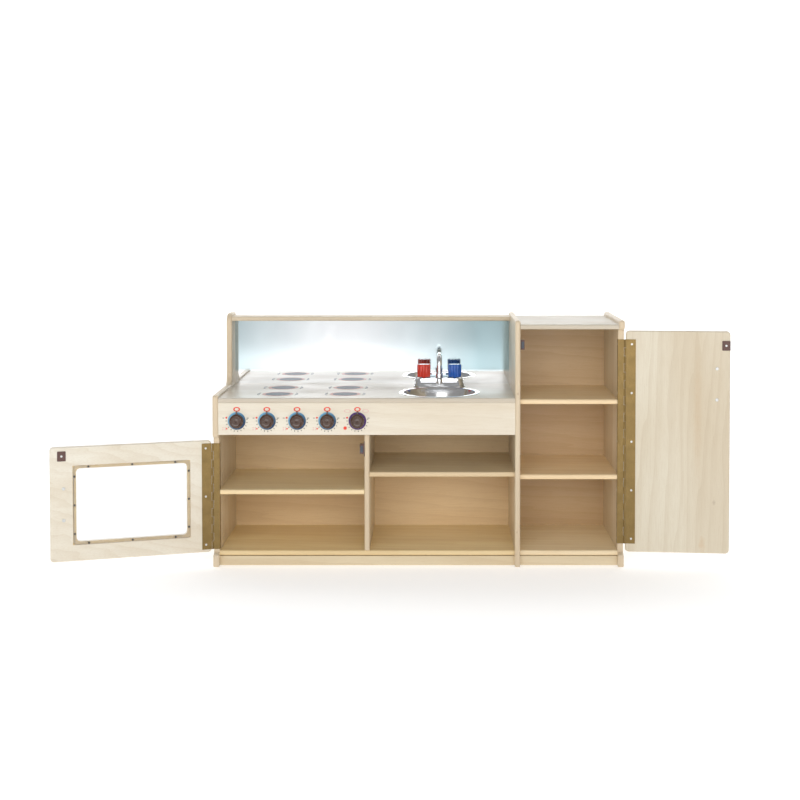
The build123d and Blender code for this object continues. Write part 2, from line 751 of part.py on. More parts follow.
def make_oven_door():
    """Oven door: board with a window, pane, screws, pull, strike plate and hinge leaf."""
    middle_z = (door_bottom + oven_door_top) / 2
    x0 = left_out + window_hinge_stile
    x1 = x0 + window_width
    z0 = door_bottom + window_bottom_rail
    z1 = z0 + window_height
    rim = rabbet_width
    rabbet_floor = door_inner - rabbet_depth
    catch_x = oven_right - oven_strike_from_divider
    pull_x = oven_door_end - pull_edge_distance
    holes = door_leaf_screws(oven_pivot_x, 1, oven_screw_zs, False)
    holes += pull_holes(pull_x, middle_z)
    holes.append(strike_screw(catch_x, oven_catch_height, False))

    pane_rim = rim - pane_clearance
    pane = rounded_window(x0 - pane_rim, x1 + pane_rim, rabbet_floor,
                          rabbet_floor + pane_thickness, z0 - pane_rim, z1 + pane_rim,
                          rabbet_round - pane_clearance)
    screws = []
    pane_holes = []
    inset = rim / 2
    xs = spread(x0 + window_screw_corner_x, x1 - window_screw_corner_x, 3)
    zs = spread(z0 + window_screw_corner_z, z1 - window_screw_corner_z, 3)
    places = [(x, z) for x in xs for z in (z0 - inset, z1 + inset)]
    places += [(x, z) for z in zs for x in (x0 - inset, x1 + inset)]
    for x, z in places:
        top = rabbet_floor + pane_thickness + window_screw_head
        head = Cylinder(screw_head_radius, window_screw_head)
        head = Pos(0, 0, -window_screw_head / 2) * head
        head = fillet(head.edges().group_by(Axis.Z)[-1], 0.6)
        shank = Cylinder(screw_shank_radius, window_screw_length)
        shank = Pos(0, 0, -window_screw_length / 2) * shank
        slot = Pos(0, 0, -recess_depth / 2) * Box(recess_length, recess_width, recess_depth)
        screw = head + shank
        turn = Pos(x, top, z) * Rot(-90, 0, 0)
        screws.append(turn * (screw - slot - Rot(0, 0, 90) * slot))
        pane_holes.append(turn * shank)

    board = door_board(left_out, oven_door_end, door_bottom, oven_door_top)
    board = board - rounded_window(x0, x1, door_outer - 1, door_inner + 1, z0, z1, window_round)
    board = board - rounded_window(x0 - rim, x1 + rim, rabbet_floor, door_inner + 1,
                                   z0 - rim, z1 + rim, rabbet_round)
    nodes["oven_door_board"] = swing_oven(drilled(board, holes + pane_holes))
    nodes["oven_window"] = swing_oven(drilled(pane, pane_holes))
    nodes["oven_window_screws"] = swing_oven(Compound(screws))
    nodes["oven_pull_handle"] = swing_oven(pull_handle(pull_x, middle_z))
    nodes["oven_pull_bolts"] = swing_oven(Compound(pull_bolts(pull_x, middle_z)))
    plate = drilled(strike_plate(catch_x, oven_catch_height), holes)
    nodes["oven_strike_plate"] = swing_oven(plate)
    leaf = Pos(oven_pivot_x, hinge_y, 0) * hinge_leaf(oven_knuckles, 1, 1, True, oven_hinge_z)
    nodes["oven_hinge_door_leaf"] = swing_oven(drilled(leaf, holes))
    visible = door_leaf_screws(oven_pivot_x, 1, oven_screw_zs, True)
    visible.append(strike_screw(catch_x, oven_catch_height, True))
    nodes["oven_door_screws"] = swing_oven(Compound(visible))


def make_fridge_door():
    """Refrigerator door: plain board, pull, strike plate and hinge leaf."""
    middle_z = door_bottom + fridge_pull_height
    catch_x = fridge_door_end + strike_width / 2
    pull_x = fridge_door_end + pull_edge_distance
    holes = door_leaf_screws(fridge_pivot_x, -1, fridge_screw_zs, False)
    holes += pull_holes(pull_x, middle_z)
    holes.append(strike_screw(catch_x, fridge_catch_height, False))
    board = door_board(fridge_door_end, right_out, door_bottom, fridge_door_top)
    nodes["fridge_door_board"] = swing_fridge(drilled(board, holes))
    nodes["fridge_pull_handle"] = swing_fridge(pull_handle(pull_x, middle_z))
    nodes["fridge_pull_bolts"] = swing_fridge(Compound(pull_bolts(pull_x, middle_z)))
    plate = drilled(strike_plate(catch_x, fridge_catch_height), holes)
    nodes["fridge_strike_plate"] = swing_fridge(plate)
    leaf = hinge_leaf(fridge_knuckles, 1, -1, True, fridge_hinge_z)
    leaf = Pos(fridge_pivot_x, hinge_y, 0) * leaf
    nodes["fridge_hinge_door_leaf"] = swing_fridge(drilled(leaf, holes))
    visible = door_leaf_screws(fridge_pivot_x, -1, fridge_screw_zs, True)
    visible.append(strike_screw(catch_x, fridge_catch_height, True))
    nodes["fridge_door_screws"] = swing_fridge(Compound(visible))


# ---- Knobs ----

def knob_bore():
    """Inside radius of a knob's bushing."""
    return knob_stem_radius + knob_clearance


def make_knobs():
    """Moulded knobs that snap into bushings pressed in the control panel."""
    bushings = []
    flange_y = control_front - bushing_flange
    tail_y = control_back + 0.5
    for number, x in enumerate(knob_xs, start=1):
        flange = Pos(0, 0, bushing_flange / 2) * Cylinder(bushing_flange_radius, bushing_flange)
        tube_length = tail_y - control_front
        tube = Pos(0, 0, -tube_length / 2) * Cylinder(knob_bore() + bushing_wall, tube_length)
        bushing = flange + tube - Cylinder(knob_bore(), 60)
        bushings.append(Pos(x, control_front, knob_height) * Rot(90, 0, 0) * bushing)

        skirt = Pos(0, 0, knob_body / 2) * Cylinder(knob_radius, knob_body)
        skirt = fillet(skirt.edges().group_by(Axis.Z)[-1], knob_round)
        dimple = Pos(0, 0, knob_body) * Cylinder(knob_dimple_radius, 2 * knob_dimple_depth)
        reach = knob_pointer_reach
        pointer = Box(knob_pointer_width, reach, knob_pointer_height)
        pointer = Pos(0, reach / 2, knob_pointer_height / 2) * pointer
        tip_edges = pointer.edges().filter_by(Axis.Z).group_by(Axis.Y)[-1]
        pointer = chamfer(tip_edges, knob_pointer_chamfer)
        stem_length = tail_y - flange_y + 2 * knob_air_gap
        stem = Pos(0, 0, -stem_length / 2) * Cylinder(knob_stem_radius, stem_length)
        barb = Pos(0, 0, -stem_length - knob_barb_length / 2)
        barb = barb * Cone(knob_stem_radius - 1, knob_barb_radius, knob_barb_length)
        knob = skirt - dimple + pointer + stem + barb
        place = Pos(x, flange_y - knob_air_gap, knob_height) * Rot(90, 0, 0)
        nodes["knob_" + str(number)] = place * knob
    nodes["knob_bushings"] = Compound(bushings)


# ---- Printed marks ----

def make_prints():
    """Printed burner patches on the worktop and printed rings round the knobs."""
    burners = []
    left = left_out + burner_from_left
    z = worktop_height + print_thickness / 2
    for x in (left, left + burner_spacing):
        for depth in (burner_front_depth, burner_back_depth):
            burners.append(Pos(x, front + depth, z) * Cylinder(burner_radius, print_thickness))
    nodes["burner_prints"] = Compound(burners)
    rings = []
    ring = Cylinder(dial_ring_radius, print_thickness)
    ring = ring - Cylinder(bushing_flange_radius + 0.5, 2 * print_thickness)
    for x in knob_xs:
        place = Pos(x, control_front - print_thickness / 2, knob_height) * Rot(90, 0, 0)
        rings.append(place * ring)
    nodes["dial_prints"] = Compound(rings)


# ---- Sink ----

def make_sink():
    """A spun steel bowl that drops into the worktop, and four clips under it."""
    floor = -sink_bowl_depth
    inner = sink_bowl_radius - sink_wall
    points = [(0, floor), (sink_floor_radius - sink_wall, floor), (inner, sink_rim_height),
              (sink_rim_radius, sink_rim_height), (sink_rim_radius, 0), (sink_bowl_radius, 0),
              (sink_floor_radius, floor - sink_wall), (0, floor - sink_wall)]
    radii = [0, 24, 1.2, 0.7, 0, 0, 25, 0]
    section = make_face(FilletPolyline(*points, radius=radii, close=True).edges())
    bowl = revolve(Plane.XZ * section, axis=Axis.Z)
    nodes["sink_bowl"] = Pos(sink_x, sink_y, worktop_height) * bowl
    clips = []
    near = sink_bowl_radius + clip_metal
    half = clip_width / 2
    under = -worktop_thickness
    for angle in (45, 135, 225, 315):
        foot = block(near, sink_bowl_radius + clip_reach, -half, half, under - clip_metal, under)
        tab = block(near, near + clip_metal, -half, half, under - clip_drop, under)
        clip = Rot(0, 0, angle) * (foot + tab)
        clips.append(Pos(sink_x, sink_y, worktop_height) * clip)
    nodes["sink_clips"] = Compound(clips)


# ---- Faucet ----

def make_faucet():
    """Centre-set faucet: chromed base with shanks, nuts, swivel spout and two handles."""
    origin = Pos(sink_x, faucet_y, worktop_height)
    half = faucet_spacing / 2
    plate = SlotOverall(faucet_base_length, faucet_base_width)
    base = extrude(plate, faucet_base_height, taper=faucet_base_taper)
    base = base + Pos(0, 0, faucet_hub_height / 2) * Cylinder(faucet_hub_radius, faucet_hub_height)
    for side in (-1, 1):
        shank = Pos(side * half, 0, -shank_length / 2) * Cylinder(shank_radius, shank_length)
        base = base + shank
    bore = faucet_bore_depth
    for side in (-1, 1):
        hole = Cylinder(handle_stem_radius + turn_clearance, bore)
        base = base - Pos(side * half, 0, faucet_base_height - bore / 2) * hole
    hole = Cylinder(spout_stem_radius + turn_clearance, bore)
    base = base - Pos(0, 0, faucet_hub_height - bore / 2) * hole
    nodes["faucet_base"] = origin * base

    nuts = []
    under = -worktop_thickness
    for side in (-1, 1):
        washer = Cylinder(shank_washer_radius, shank_washer_height) - Cylinder(shank_radius, 20)
        place = Pos(side * half, 0, under - shank_washer_height / 2)
        nuts.append(origin * place * washer)
        nut = extrude(RegularPolygon(shank_nut_flats / 2, 6, major_radius=False), shank_nut_height)
        nut = nut - Cylinder(shank_radius, 40)
        place = Pos(side * half, 0, under - shank_washer_height - shank_nut_height)
        nuts.append(origin * place * nut)
    nodes["faucet_nuts"] = Compound(nuts)

    foot = faucet_hub_height + handle_air_gap
    collar = Pos(0, 0, foot + spout_collar_height / 2)
    spout = collar * Cylinder(spout_collar_radius, spout_collar_height)
    spout = fillet(spout.edges().group_by(Axis.Z)[-1], 2.5)
    stem_length = bore - 1 + handle_air_gap
    spout = spout + Pos(0, 0, foot - stem_length / 2) * Cylinder(spout_stem_radius, stem_length)
    points = [(0, 0, foot + 2), (0, 0, spout_height), (0, -spout_reach, spout_height),
              (0, -spout_reach, spout_height - spout_drop)]
    path = FilletPolyline(*points, radius=spout_bend)
    start = Plane(origin=points[0], z_dir=(0, 0, 1))
    spout = spout + sweep(start * Circle(spout_radius), path=path)
    tip = spout_height - spout_drop
    aerator = Pos(0, -spout_reach, tip + aerator_height / 2 - 3)
    aerator = aerator * Cylinder(aerator_radius, aerator_height)
    spout = spout + fillet(aerator.edges(), 1.2)
    outlet = Pos(0, -spout_reach, tip - 3) * Cylinder(spout_radius - 1.5, 12)
    nodes["faucet_spout"] = origin * (spout - outlet)

    for name, side in (("hot_handle", -1), ("cold_handle", 1)):
        nodes[name] = origin * Pos(side * half, 0, faucet_base_height + handle_air_gap) * handle()


def handle():
    """A fluted clear plastic handle on a round stem."""
    body = Pos(0, 0, handle_height / 2) * Cone(handle_radius - 1.5, handle_radius, handle_height)
    body = fillet(body.edges().filter_by(GeomType.CIRCLE), 3.0)
    for n in range(handle_flutes):
        flute = Pos(handle_radius + 0.8, 0, handle_height / 2)
        flute = Rot(0, 0, 360 * n / handle_flutes) * flute
        body = body - flute * Cylinder(handle_flute_radius, handle_height + 2)
    stem_length = faucet_bore_depth - 1 + handle_air_gap
    return body + Pos(0, 0, -stem_length / 2) * Cylinder(handle_stem_radius, stem_length)


make_hinges()
make_catches()
make_panels()
make_shelves()
make_worktop()
make_fronts_and_backs()
make_oven_door()
make_fridge_door()
make_knobs()
make_prints()
make_sink()
make_faucet()

os.makedirs("parts", exist_ok=True)
for name, shape in nodes.items():
    export_step(shape, "parts/" + name + ".step")
print(len(nodes), "nodes")
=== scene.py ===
import json
import math

import bmesh
import bpy
from mathutils import Matrix, Vector


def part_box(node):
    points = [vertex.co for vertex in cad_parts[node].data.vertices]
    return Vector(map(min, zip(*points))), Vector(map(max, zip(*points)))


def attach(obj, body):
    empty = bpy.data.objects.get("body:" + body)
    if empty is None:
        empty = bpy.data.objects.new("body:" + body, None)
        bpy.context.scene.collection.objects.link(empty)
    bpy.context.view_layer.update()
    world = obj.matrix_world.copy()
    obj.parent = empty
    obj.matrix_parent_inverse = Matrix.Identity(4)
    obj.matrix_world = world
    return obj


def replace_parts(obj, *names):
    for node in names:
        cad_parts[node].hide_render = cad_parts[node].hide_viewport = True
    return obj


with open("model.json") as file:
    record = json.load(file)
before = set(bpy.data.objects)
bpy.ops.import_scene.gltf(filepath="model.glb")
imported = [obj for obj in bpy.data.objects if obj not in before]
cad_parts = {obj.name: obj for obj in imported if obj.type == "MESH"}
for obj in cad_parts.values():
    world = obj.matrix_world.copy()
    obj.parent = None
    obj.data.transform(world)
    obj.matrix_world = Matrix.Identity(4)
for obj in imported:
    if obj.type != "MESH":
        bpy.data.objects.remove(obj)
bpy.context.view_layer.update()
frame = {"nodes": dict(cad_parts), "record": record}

cad_nodes = frame["nodes"]
pivots = {joint["name"]: Vector(joint["pos_m"])
          for joint in frame["record"]["behaviour"]["joints"]}
MM = 0.001

# ---- Upright boards ----
# Both end panels, the tall divider beside the refrigerator and the short one beside the oven.
# Maple plywood cut to shape, edges rounded over with a router, then sealed with satin lacquer.
# They stand on the floor and are dowelled to the level boards.

MAPLE_PALE = (0.800, 0.705, 0.540)
MAPLE_WARM = (0.720, 0.600, 0.430)
MAPLE_LINE = (0.590, 0.450, 0.280)
MAPLE_EDGE = (0.560, 0.410, 0.255)
KNOT_BROWN = (0.230, 0.110, 0.045)
STAIN_ORANGE = (0.640, 0.370, 0.150)
GRAIN_TURN = {"x": (0, 0, 0), "y": (0, 0, -math.pi / 2), "z": (0, math.pi / 2, 0)}
GRAIN_STRETCH = 0.07


def begin_finish(name, colour, roughness, **sockets):
    """A new finish, with its tree and its shader; the named sockets are set on the shader."""
    finish = bpy.data.materials.new(name)
    finish.use_nodes = True
    shader = finish.node_tree.nodes["Principled BSDF"]
    shader.inputs["Base Color"].default_value = (*colour, 1)
    shader.inputs["Roughness"].default_value = roughness
    for socket, value in sockets.items():
        shader.inputs[socket.replace("_", " ")].default_value = value
    return finish, finish.node_tree, shader


def add(tree, kind, inputs=None, **settings):
    """One node, with its settings made and its inputs set or linked."""
    made = tree.nodes.new("ShaderNode" + kind)
    for key, value in settings.items():
        setattr(made, key, value)
    for key, value in (inputs or {}).items():
        if isinstance(value, bpy.types.NodeSocket):
            tree.links.new(value, made.inputs[key])
        else:
            made.inputs[key].default_value = value
    return made


def mixed(tree, amount, first, second, how="MIX"):
    """Two colours laid over each other by an amount."""
    colours = [c if isinstance(c, bpy.types.NodeSocket) else (*c, 1) for c in (first, second)]
    made = add(tree, "Mix", {0: amount, 6: colours[0], 7: colours[1]},
               data_type="RGBA", blend_type=how)
    return made.outputs[2]


def spotted(tree, place, scale, detail=3.0, distortion=0.0):
    """Soft random variation between 0 and 1."""
    made = add(tree, "TexNoise", {"Vector": place, "Scale": scale, "Detail": detail,
                                  "Distortion": distortion})
    return made.outputs[0]


def ranged(tree, value, low, high, new_low=0.0, new_high=1.0):
    """A value stretched from one range to another and held there."""
    made = add(tree, "MapRange", {"Value": value, "From Min": low, "From Max": high,
                                  "To Min": new_low, "To Max": new_high})
    return made.outputs[0]


def moved(tree, place, shift=(0, 0, 0), turn=(0, 0, 0), scale=(1, 1, 1)):
    """Coordinates shifted, turned and scaled."""
    made = add(tree, "Mapping", {"Vector": place, "Location": shift, "Rotation": turn,
                                 "Scale": scale})
    return made.outputs[0]


def calculated(tree, how, first, second=0.5):
    """One sum on two values."""
    return add(tree, "Math", {0: first, 1: second}, operation=how).outputs[0]


def raised(tree, shader, height, strength, depth):
    """A fine relief on the shader from a height pattern."""
    bump = add(tree, "Bump", {"Height": height, "Strength": strength, "Distance": depth})
    tree.links.new(bump.outputs[0], shader.inputs["Normal"])


def knot_spot(tree, place, colour, centre, size, strength, spot_colour, tall=1.6):
    """A knot or a mineral streak laid over the grain: dark in its middle, soft at its rim."""
    squeezed = moved(tree, place, shift=(-centre[0], -centre[1], -centre[2] / tall),
                     scale=(1, 1, 1 / tall))
    ragged = spotted(tree, place, 90.0, 2.0)
    length = add(tree, "VectorMath", {0: squeezed}, operation="LENGTH").outputs["Value"]
    length = calculated(tree, "ADD", length, calculated(tree, "MULTIPLY", ragged, size * 0.8))
    inside = ranged(tree, length, size * 0.7, size * 1.6, strength, 0.0)
    return mixed(tree, inside, colour, spot_colour)


def in_rabbet(tree, place, colour, low, high, bare_colour):
    """The bare wood in a rabbet: whatever faces the front between two corners of a pane."""
    parts = add(tree, "SeparateXYZ", {0: place}).outputs
    facing = add(tree, "SeparateXYZ", {0: add(tree, "TexCoord").outputs["Normal"]}).outputs
    inside = calculated(tree, "LESS_THAN", facing[1], -0.3)
    for axis in (0, 2):
        above = calculated(tree, "GREATER_THAN", parts[axis], low[axis])
        below = calculated(tree, "LESS_THAN", parts[axis], high[axis])
        inside = calculated(tree, "MULTIPLY", inside, calculated(tree, "MULTIPLY", above, below))
    return mixed(tree, inside, colour, bare_colour, "MULTIPLY")


def maple_finish(name, grain, seed, tone=(1, 1, 1), edge_side=None, knots=(), figure=1.0,
                 rabbet=None):
    """Satin-lacquered maple whose grain runs along the axis named by its letter."""
    finish, tree, shader = begin_finish(name, MAPLE_PALE, 0.42, Coat_Weight=0.18,
                                        Coat_Roughness=0.22, IOR=1.47)
    place = add(tree, "TexCoord").outputs["Object"]
    along = moved(tree, place, turn=GRAIN_TURN[grain])
    board = moved(tree, along, shift=(seed * 1.37, seed * 0.61, seed * 0.93),
                  scale=(GRAIN_STRETCH, 1, 1))
    warp = spotted(tree, board, 9.0, 3.0, 0.4)
    waves = add(tree, "TexWave", {"Vector": board, "Scale": 15.0, "Distortion": 9.0 * figure,
                                  "Detail": 2.5, "Detail Scale": 1.1,
                                  "Detail Roughness": 0.55},
                wave_type="BANDS", bands_direction="DIAGONAL", wave_profile="SAW").outputs[0]
    cloud = spotted(tree, moved(tree, along, shift=(seed, seed, 0), scale=(0.4, 1, 1)), 6.0, 2.0)
    streaks = spotted(tree, moved(tree, along, scale=(0.05, 1, 1)), 420.0, 2.0)
    flecks = spotted(tree, moved(tree, along, scale=(0.16, 1, 1)), 700.0, 1.0)
    colour = mixed(tree, ranged(tree, warp, 0.32, 0.68), MAPLE_PALE, MAPLE_WARM)
    lines = calculated(tree, "MULTIPLY", ranged(tree, waves, 0.45, 1.0), 0.24 * figure)
    colour = mixed(tree, lines, colour, MAPLE_LINE)
    colour = mixed(tree, ranged(tree, streaks, 0.45, 0.72, 0.0, 0.20), colour, MAPLE_LINE)
    colour = mixed(tree, ranged(tree, flecks, 0.64, 0.74, 0.0, 0.25), colour, MAPLE_LINE)
    shade = ranged(tree, cloud, 0.35, 0.7, 0.0, 0.22)
    colour = mixed(tree, shade, colour, MAPLE_WARM, "MULTIPLY")
    for centre, size, strength, spot_colour, tall in knots:
        colour = knot_spot(tree, place, colour, centre, size, strength, spot_colour, tall)
    if edge_side is not None:
        facing = add(tree, "TexCoord").outputs["Normal"]
        toward = add(tree, "VectorMath", {0: facing, 1: edge_side}, operation="DOT_PRODUCT")
        on_edge = ranged(tree, toward.outputs["Value"], 0.6, 0.9, 0.0, 0.85)
        plies = add(tree, "TexWave", {"Vector": place, "Scale": 60.0, "Distortion": 0.6},
                    bands_direction="X" if grain == "z" else "Z").outputs[0]
        colour = mixed(tree, on_edge, colour,
                       mixed(tree, ranged(tree, plies, 0.2, 0.8, 0.0, 0.22),
                             mixed(tree, 0.5, colour, MAPLE_EDGE), MAPLE_WARM))
    colour = mixed(tree, 1.0, colour, tone, "MULTIPLY")
    if rabbet is not None:
        colour = in_rabbet(tree, place, colour, *rabbet)
    tree.links.new(colour, shader.inputs["Base Color"])
    smudge = spotted(tree, place, 7.0, 4.0)
    gloss = ranged(tree, smudge, 0.3, 0.7, 0.34, 0.50)
    gloss = calculated(tree, "ADD", gloss, ranged(tree, streaks, 0.4, 0.8, 0.0, 0.08))
    tree.links.new(gloss, shader.inputs["Roughness"])
    raised(tree, shader, streaks, 0.16, 0.0004)
    return finish


def coat_node(name, finish):
    """Gives one of the frame's nodes its finish."""
    for place in cad_nodes[name].material_slots:
        place.material = finish


FRONT_EDGE = (0, -1, 0)
divider_low, divider_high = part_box("tall_divider")
divider_x = (divider_low.x + divider_high.x) / 2
divider_knots = (
    ((divider_x, divider_low.y, 0.541), 0.0035, 0.55, KNOT_BROWN, 1.4),
    ((divider_x - 0.002, divider_low.y, 0.112), 0.0028, 0.45, KNOT_BROWN, 1.4),
)
coat_node("left_end_panel", maple_finish("maple_left_end", "z", 1.0, edge_side=FRONT_EDGE))
coat_node("right_end_panel", maple_finish("maple_right_end", "z", 2.3, edge_side=FRONT_EDGE))
coat_node("tall_divider", maple_finish("maple_tall_divider", "z", 3.1, edge_side=FRONT_EDGE,
                                       knots=divider_knots))
coat_node("oven_divider", maple_finish("maple_oven_divider", "z", 4.7, edge_side=FRONT_EDGE))

# ---- Shelves and level boards ----
# Bottom boards, shelves, the board over the refrigerator and the narrow one over the mirror.
# Solid-edged maple plywood with the grain running left to right, fixed with hidden dowels.

# Painted light: the tones above one lighten the compartment floors and shelves to stand in for
# light reaching inside the compartments.
SHELF_PAINTED_LIGHT_TONES = {
    "stove_bottom_shelf": (1.22, 1.17, 0.92), "fridge_bottom_shelf": (1.30, 1.30, 1.20),
    "oven_shelf": (1.28, 1.22, 1.00), "cupboard_shelf": (1.04, 0.98, 0.84),
    "fridge_upper_shelf": (1.26, 1.18, 1.02), "fridge_lower_shelf": (1.26, 1.18, 1.02),
    "fridge_top_board": (0.86, 0.92, 1.02), "mirror_top_shelf": (0.96, 0.98, 1.00),
}
for number, (name, tone) in enumerate(SHELF_PAINTED_LIGHT_TONES.items()):
    coat_node(name, maple_finish("maple_" + name, "x", 5.3 + 1.7 * number, tone, FRONT_EDGE))

# ---- Worktop, control panel and toe-kicks ----
# One maple top over the stove and cupboard, a paler board with the knobs under its front edge
# and two low boards that close the gap above the floor. All are dowelled or screwed from behind.

coat_node("worktop", maple_finish("maple_worktop", "x", 21.0, (0.86, 0.92, 1.04), FRONT_EDGE,
                                  figure=0.8))
coat_node("control_panel", maple_finish("maple_control_panel", "x", 22.6,
                                        (1.07, 1.15, 1.30), figure=0.55))
coat_node("stove_toe_kick", maple_finish("maple_stove_kick", "x", 24.1, (0.97, 0.95, 0.88)))
coat_node("fridge_toe_kick", maple_finish("maple_fridge_kick", "x", 25.9, (0.97, 0.95, 0.88)))

# ---- Back panels and mirror ----
# Thin plywood sheets screwed into the rear edges of the boards, darker than the rest.
# The splashback is a silvered plastic mirror sheet, flat against the panel; above its lowest strip
# a painted reflection is laid into its colour, pale in the middle and bluer at its ends.

# Painted light: the stove back's tone lightens it to stand in for light reaching the back of the
# stove's compartments.
coat_node("stove_back_panel", maple_finish("ply_stove_back", "x", 27.2, (1.12, 0.99, 0.79)))
coat_node("fridge_back_panel", maple_finish("ply_fridge_back", "x", 29.4, (0.90, 0.76, 0.59)))

PALE_MIDDLE_SHIFT = 100 * MM
REFLECTED_TOP = 38 * MM
PAINTED_REFLECTION_FADE = 10 * MM
mirror_low, mirror_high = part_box("mirror")
mirror_finish, tree, shader = begin_finish("silvered_sheet", (0.86, 0.91, 0.92), 0.03,
                                           Metallic=1.0)
place = add(tree, "TexCoord").outputs["Object"]
parts = add(tree, "SeparateXYZ", {0: place}).outputs
middle_x = (mirror_low.x + mirror_high.x) / 2 - PALE_MIDDLE_SHIFT
half_width = (mirror_high.x - mirror_low.x) / 2
off_centre = calculated(tree, "ABSOLUTE", calculated(tree, "SUBTRACT", parts[0], middle_x))
sideways = ranged(tree, off_centre, half_width * 0.10, half_width)
upward = ranged(tree, parts[2], mirror_low.z + REFLECTED_TOP,
                mirror_low.z + REFLECTED_TOP + PAINTED_REFLECTION_FADE)
# Painted reflection: above the strip that reflects the worktop, the colour fades from pale near the
# middle to blue towards the ends.
haze_and_painted_reflection = calculated(tree, "MULTIPLY", sideways, upward)
colour = mixed(tree, haze_and_painted_reflection, (0.91, 0.93, 0.95), (0.37, 0.49, 0.52))
tree.links.new(colour, shader.inputs["Base Color"])
smears = spotted(tree, moved(tree, place, scale=(1, 1, 0.5)), 11.0, 5.0, 0.5)
gloss = calculated(tree, "ADD", ranged(tree, smears, 0.45, 0.75, 0.015, 0.06),
                   calculated(tree, "MULTIPLY", upward, 0.07))
tree.links.new(gloss, shader.inputs["Roughness"])
waviness = spotted(tree, place, 3.2, 1.0)
raised(tree, shader, waviness, 0.10, 0.002)
coat_node("mirror", mirror_finish)

# ---- Hidden dowels, screws, bushings, clips and nuts ----
# Small fixings: fluted beech pegs, zinc-plated screws and clips, and nylon knob bushings.
# They are stock parts, so each kind shares one finish.


def metal_finish(name, colour, roughness, brush=(1, 1, 0.06), tarnish=0.35, **sockets):
    """Metal with brushing marks, handling smears and a little tarnish."""
    finish, tree, shader = begin_finish(name, colour, roughness, Metallic=1.0, **sockets)
    place = add(tree, "TexCoord").outputs["Object"]
    brushed = spotted(tree, moved(tree, place, scale=brush), 900.0, 2.0)
    patches = spotted(tree, place, 35.0, 4.0, 0.3)
    dark = tuple(part * 0.62 for part in colour)
    colour = mixed(tree, ranged(tree, patches, 0.42, 0.75, 0.0, tarnish), colour, dark)
    tree.links.new(colour, shader.inputs["Base Color"])
    rough = ranged(tree, brushed, 0.3, 0.7, roughness * 0.75, roughness * 1.3)
    rough = calculated(tree, "ADD", rough, ranged(tree, patches, 0.4, 0.8, 0.0, 0.08))
    tree.links.new(rough, shader.inputs["Roughness"])
    raised(tree, shader, brushed, 0.12, 0.0002)
    return finish


def moulded_finish(name, colour, roughness, **sockets):
    """Moulded plastic: a faint orange-peel skin, scuffs and slight unevenness of colour."""
    finish, tree, shader = begin_finish(name, colour, roughness, **sockets)
    place = add(tree, "TexCoord").outputs["Object"]
    cloud = spotted(tree, place, 60.0, 3.0)
    scuffs = spotted(tree, moved(tree, place, turn=(0.4, 0.7, 0.2), scale=(1, 0.1, 1)), 300.0)
    pale = tuple(min(1.0, part * 1.5 + 0.02) for part in colour)
    base = mixed(tree, ranged(tree, cloud, 0.35, 0.75, 0.0, 0.35), colour, pale)
    base = mixed(tree, ranged(tree, scuffs, 0.62, 0.75, 0.0, 0.25), base, pale)
    tree.links.new(base, shader.inputs["Base Color"])
    rough = ranged(tree, scuffs, 0.4, 0.75, roughness * 0.8, roughness * 1.35)
    tree.links.new(rough, shader.inputs["Roughness"])
    raised(tree, shader, spotted(tree, place, 1500.0, 1.0), 0.08, 0.0002)
    return finish


zinc = metal_finish("zinc_plate", (0.66, 0.66, 0.65), 0.34)
for name in ("back_panel_screws", "catch_screws", "sink_clips", "faucet_nuts",
             "oven_pull_bolts", "fridge_pull_bolts", "hinge_cabinet_screws",
             "oven_door_screws", "fridge_door_screws"):
    coat_node(name, zinc)
coat_node("joint_dowels", maple_finish("beech_pegs", "y", 31.0, (0.85, 0.72, 0.60)))
coat_node("knob_bushings", moulded_finish("natural_nylon", (0.80, 0.79, 0.75), 0.45))
coat_node("foot_glides", moulded_finish("hard_dark_plastic", (0.035, 0.034, 0.033), 0.5))

# ---- Burner marks ----
# Four printed burners on the worktop: a slate-blue disc inside a pale pink ring, with two short
# dark arcs on each side. They are screen printed, so each mark lies almost flush with the wood.

PRINT_THICK = 0.3 * MM
BURNER_RADIUS = 64 * MM
BURNER_DISC = 39 * MM
BURNER_GLOW = 49 * MM
ARC_WIDTH = 2.2 * MM
ARC_GAP = 7 * MM
OUTER_ARC = 52
INNER_ARC = 28


def ink_finish(name, colour, roughness=0.5):
    """Printed ink: slightly uneven cover, with tiny worn specks."""
    finish, tree, shader = begin_finish(name, colour, roughness, IOR=1.45)
    place = add(tree, "TexCoord").outputs["Object"]
    cover = spotted(tree, place, 180.0, 3.0)
    specks = spotted(tree, place, 900.0, 2.0)
    pale = tuple(part * 0.6 + 0.4 * wood for part, wood in zip(colour, MAPLE_PALE))
    base = mixed(tree, ranged(tree, cover, 0.4, 0.8, 0.0, 0.22), colour, pale)
    base = mixed(tree, ranged(tree, specks, 0.68, 0.76, 0.0, 0.6), base, pale)
    tree.links.new(base, shader.inputs["Base Color"])
    tree.links.new(ranged(tree, cover, 0.3, 0.7, roughness - 0.1, roughness + 0.1),
                   shader.inputs["Roughness"])
    raised(tree, shader, specks, 0.05, 0.0002)
    return finish


def keep_piece(mesh, name, finish, body, sharp_angle=35):
    """Turns a finished bmesh into a named piece that rides on a body."""
    bmesh.ops.recalc_face_normals(mesh, faces=mesh.faces)
    data = bpy.data.meshes.new(name)
    mesh.to_mesh(data)
    mesh.free()
    data.materials.append(finish)
    data.shade_smooth()
    data.set_sharp_from_angle(angle=math.radians(sharp_angle))
    piece = bpy.data.objects.new(name, data)
    bpy.context.scene.collection.objects.link(piece)
    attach(piece, body)
    return piece


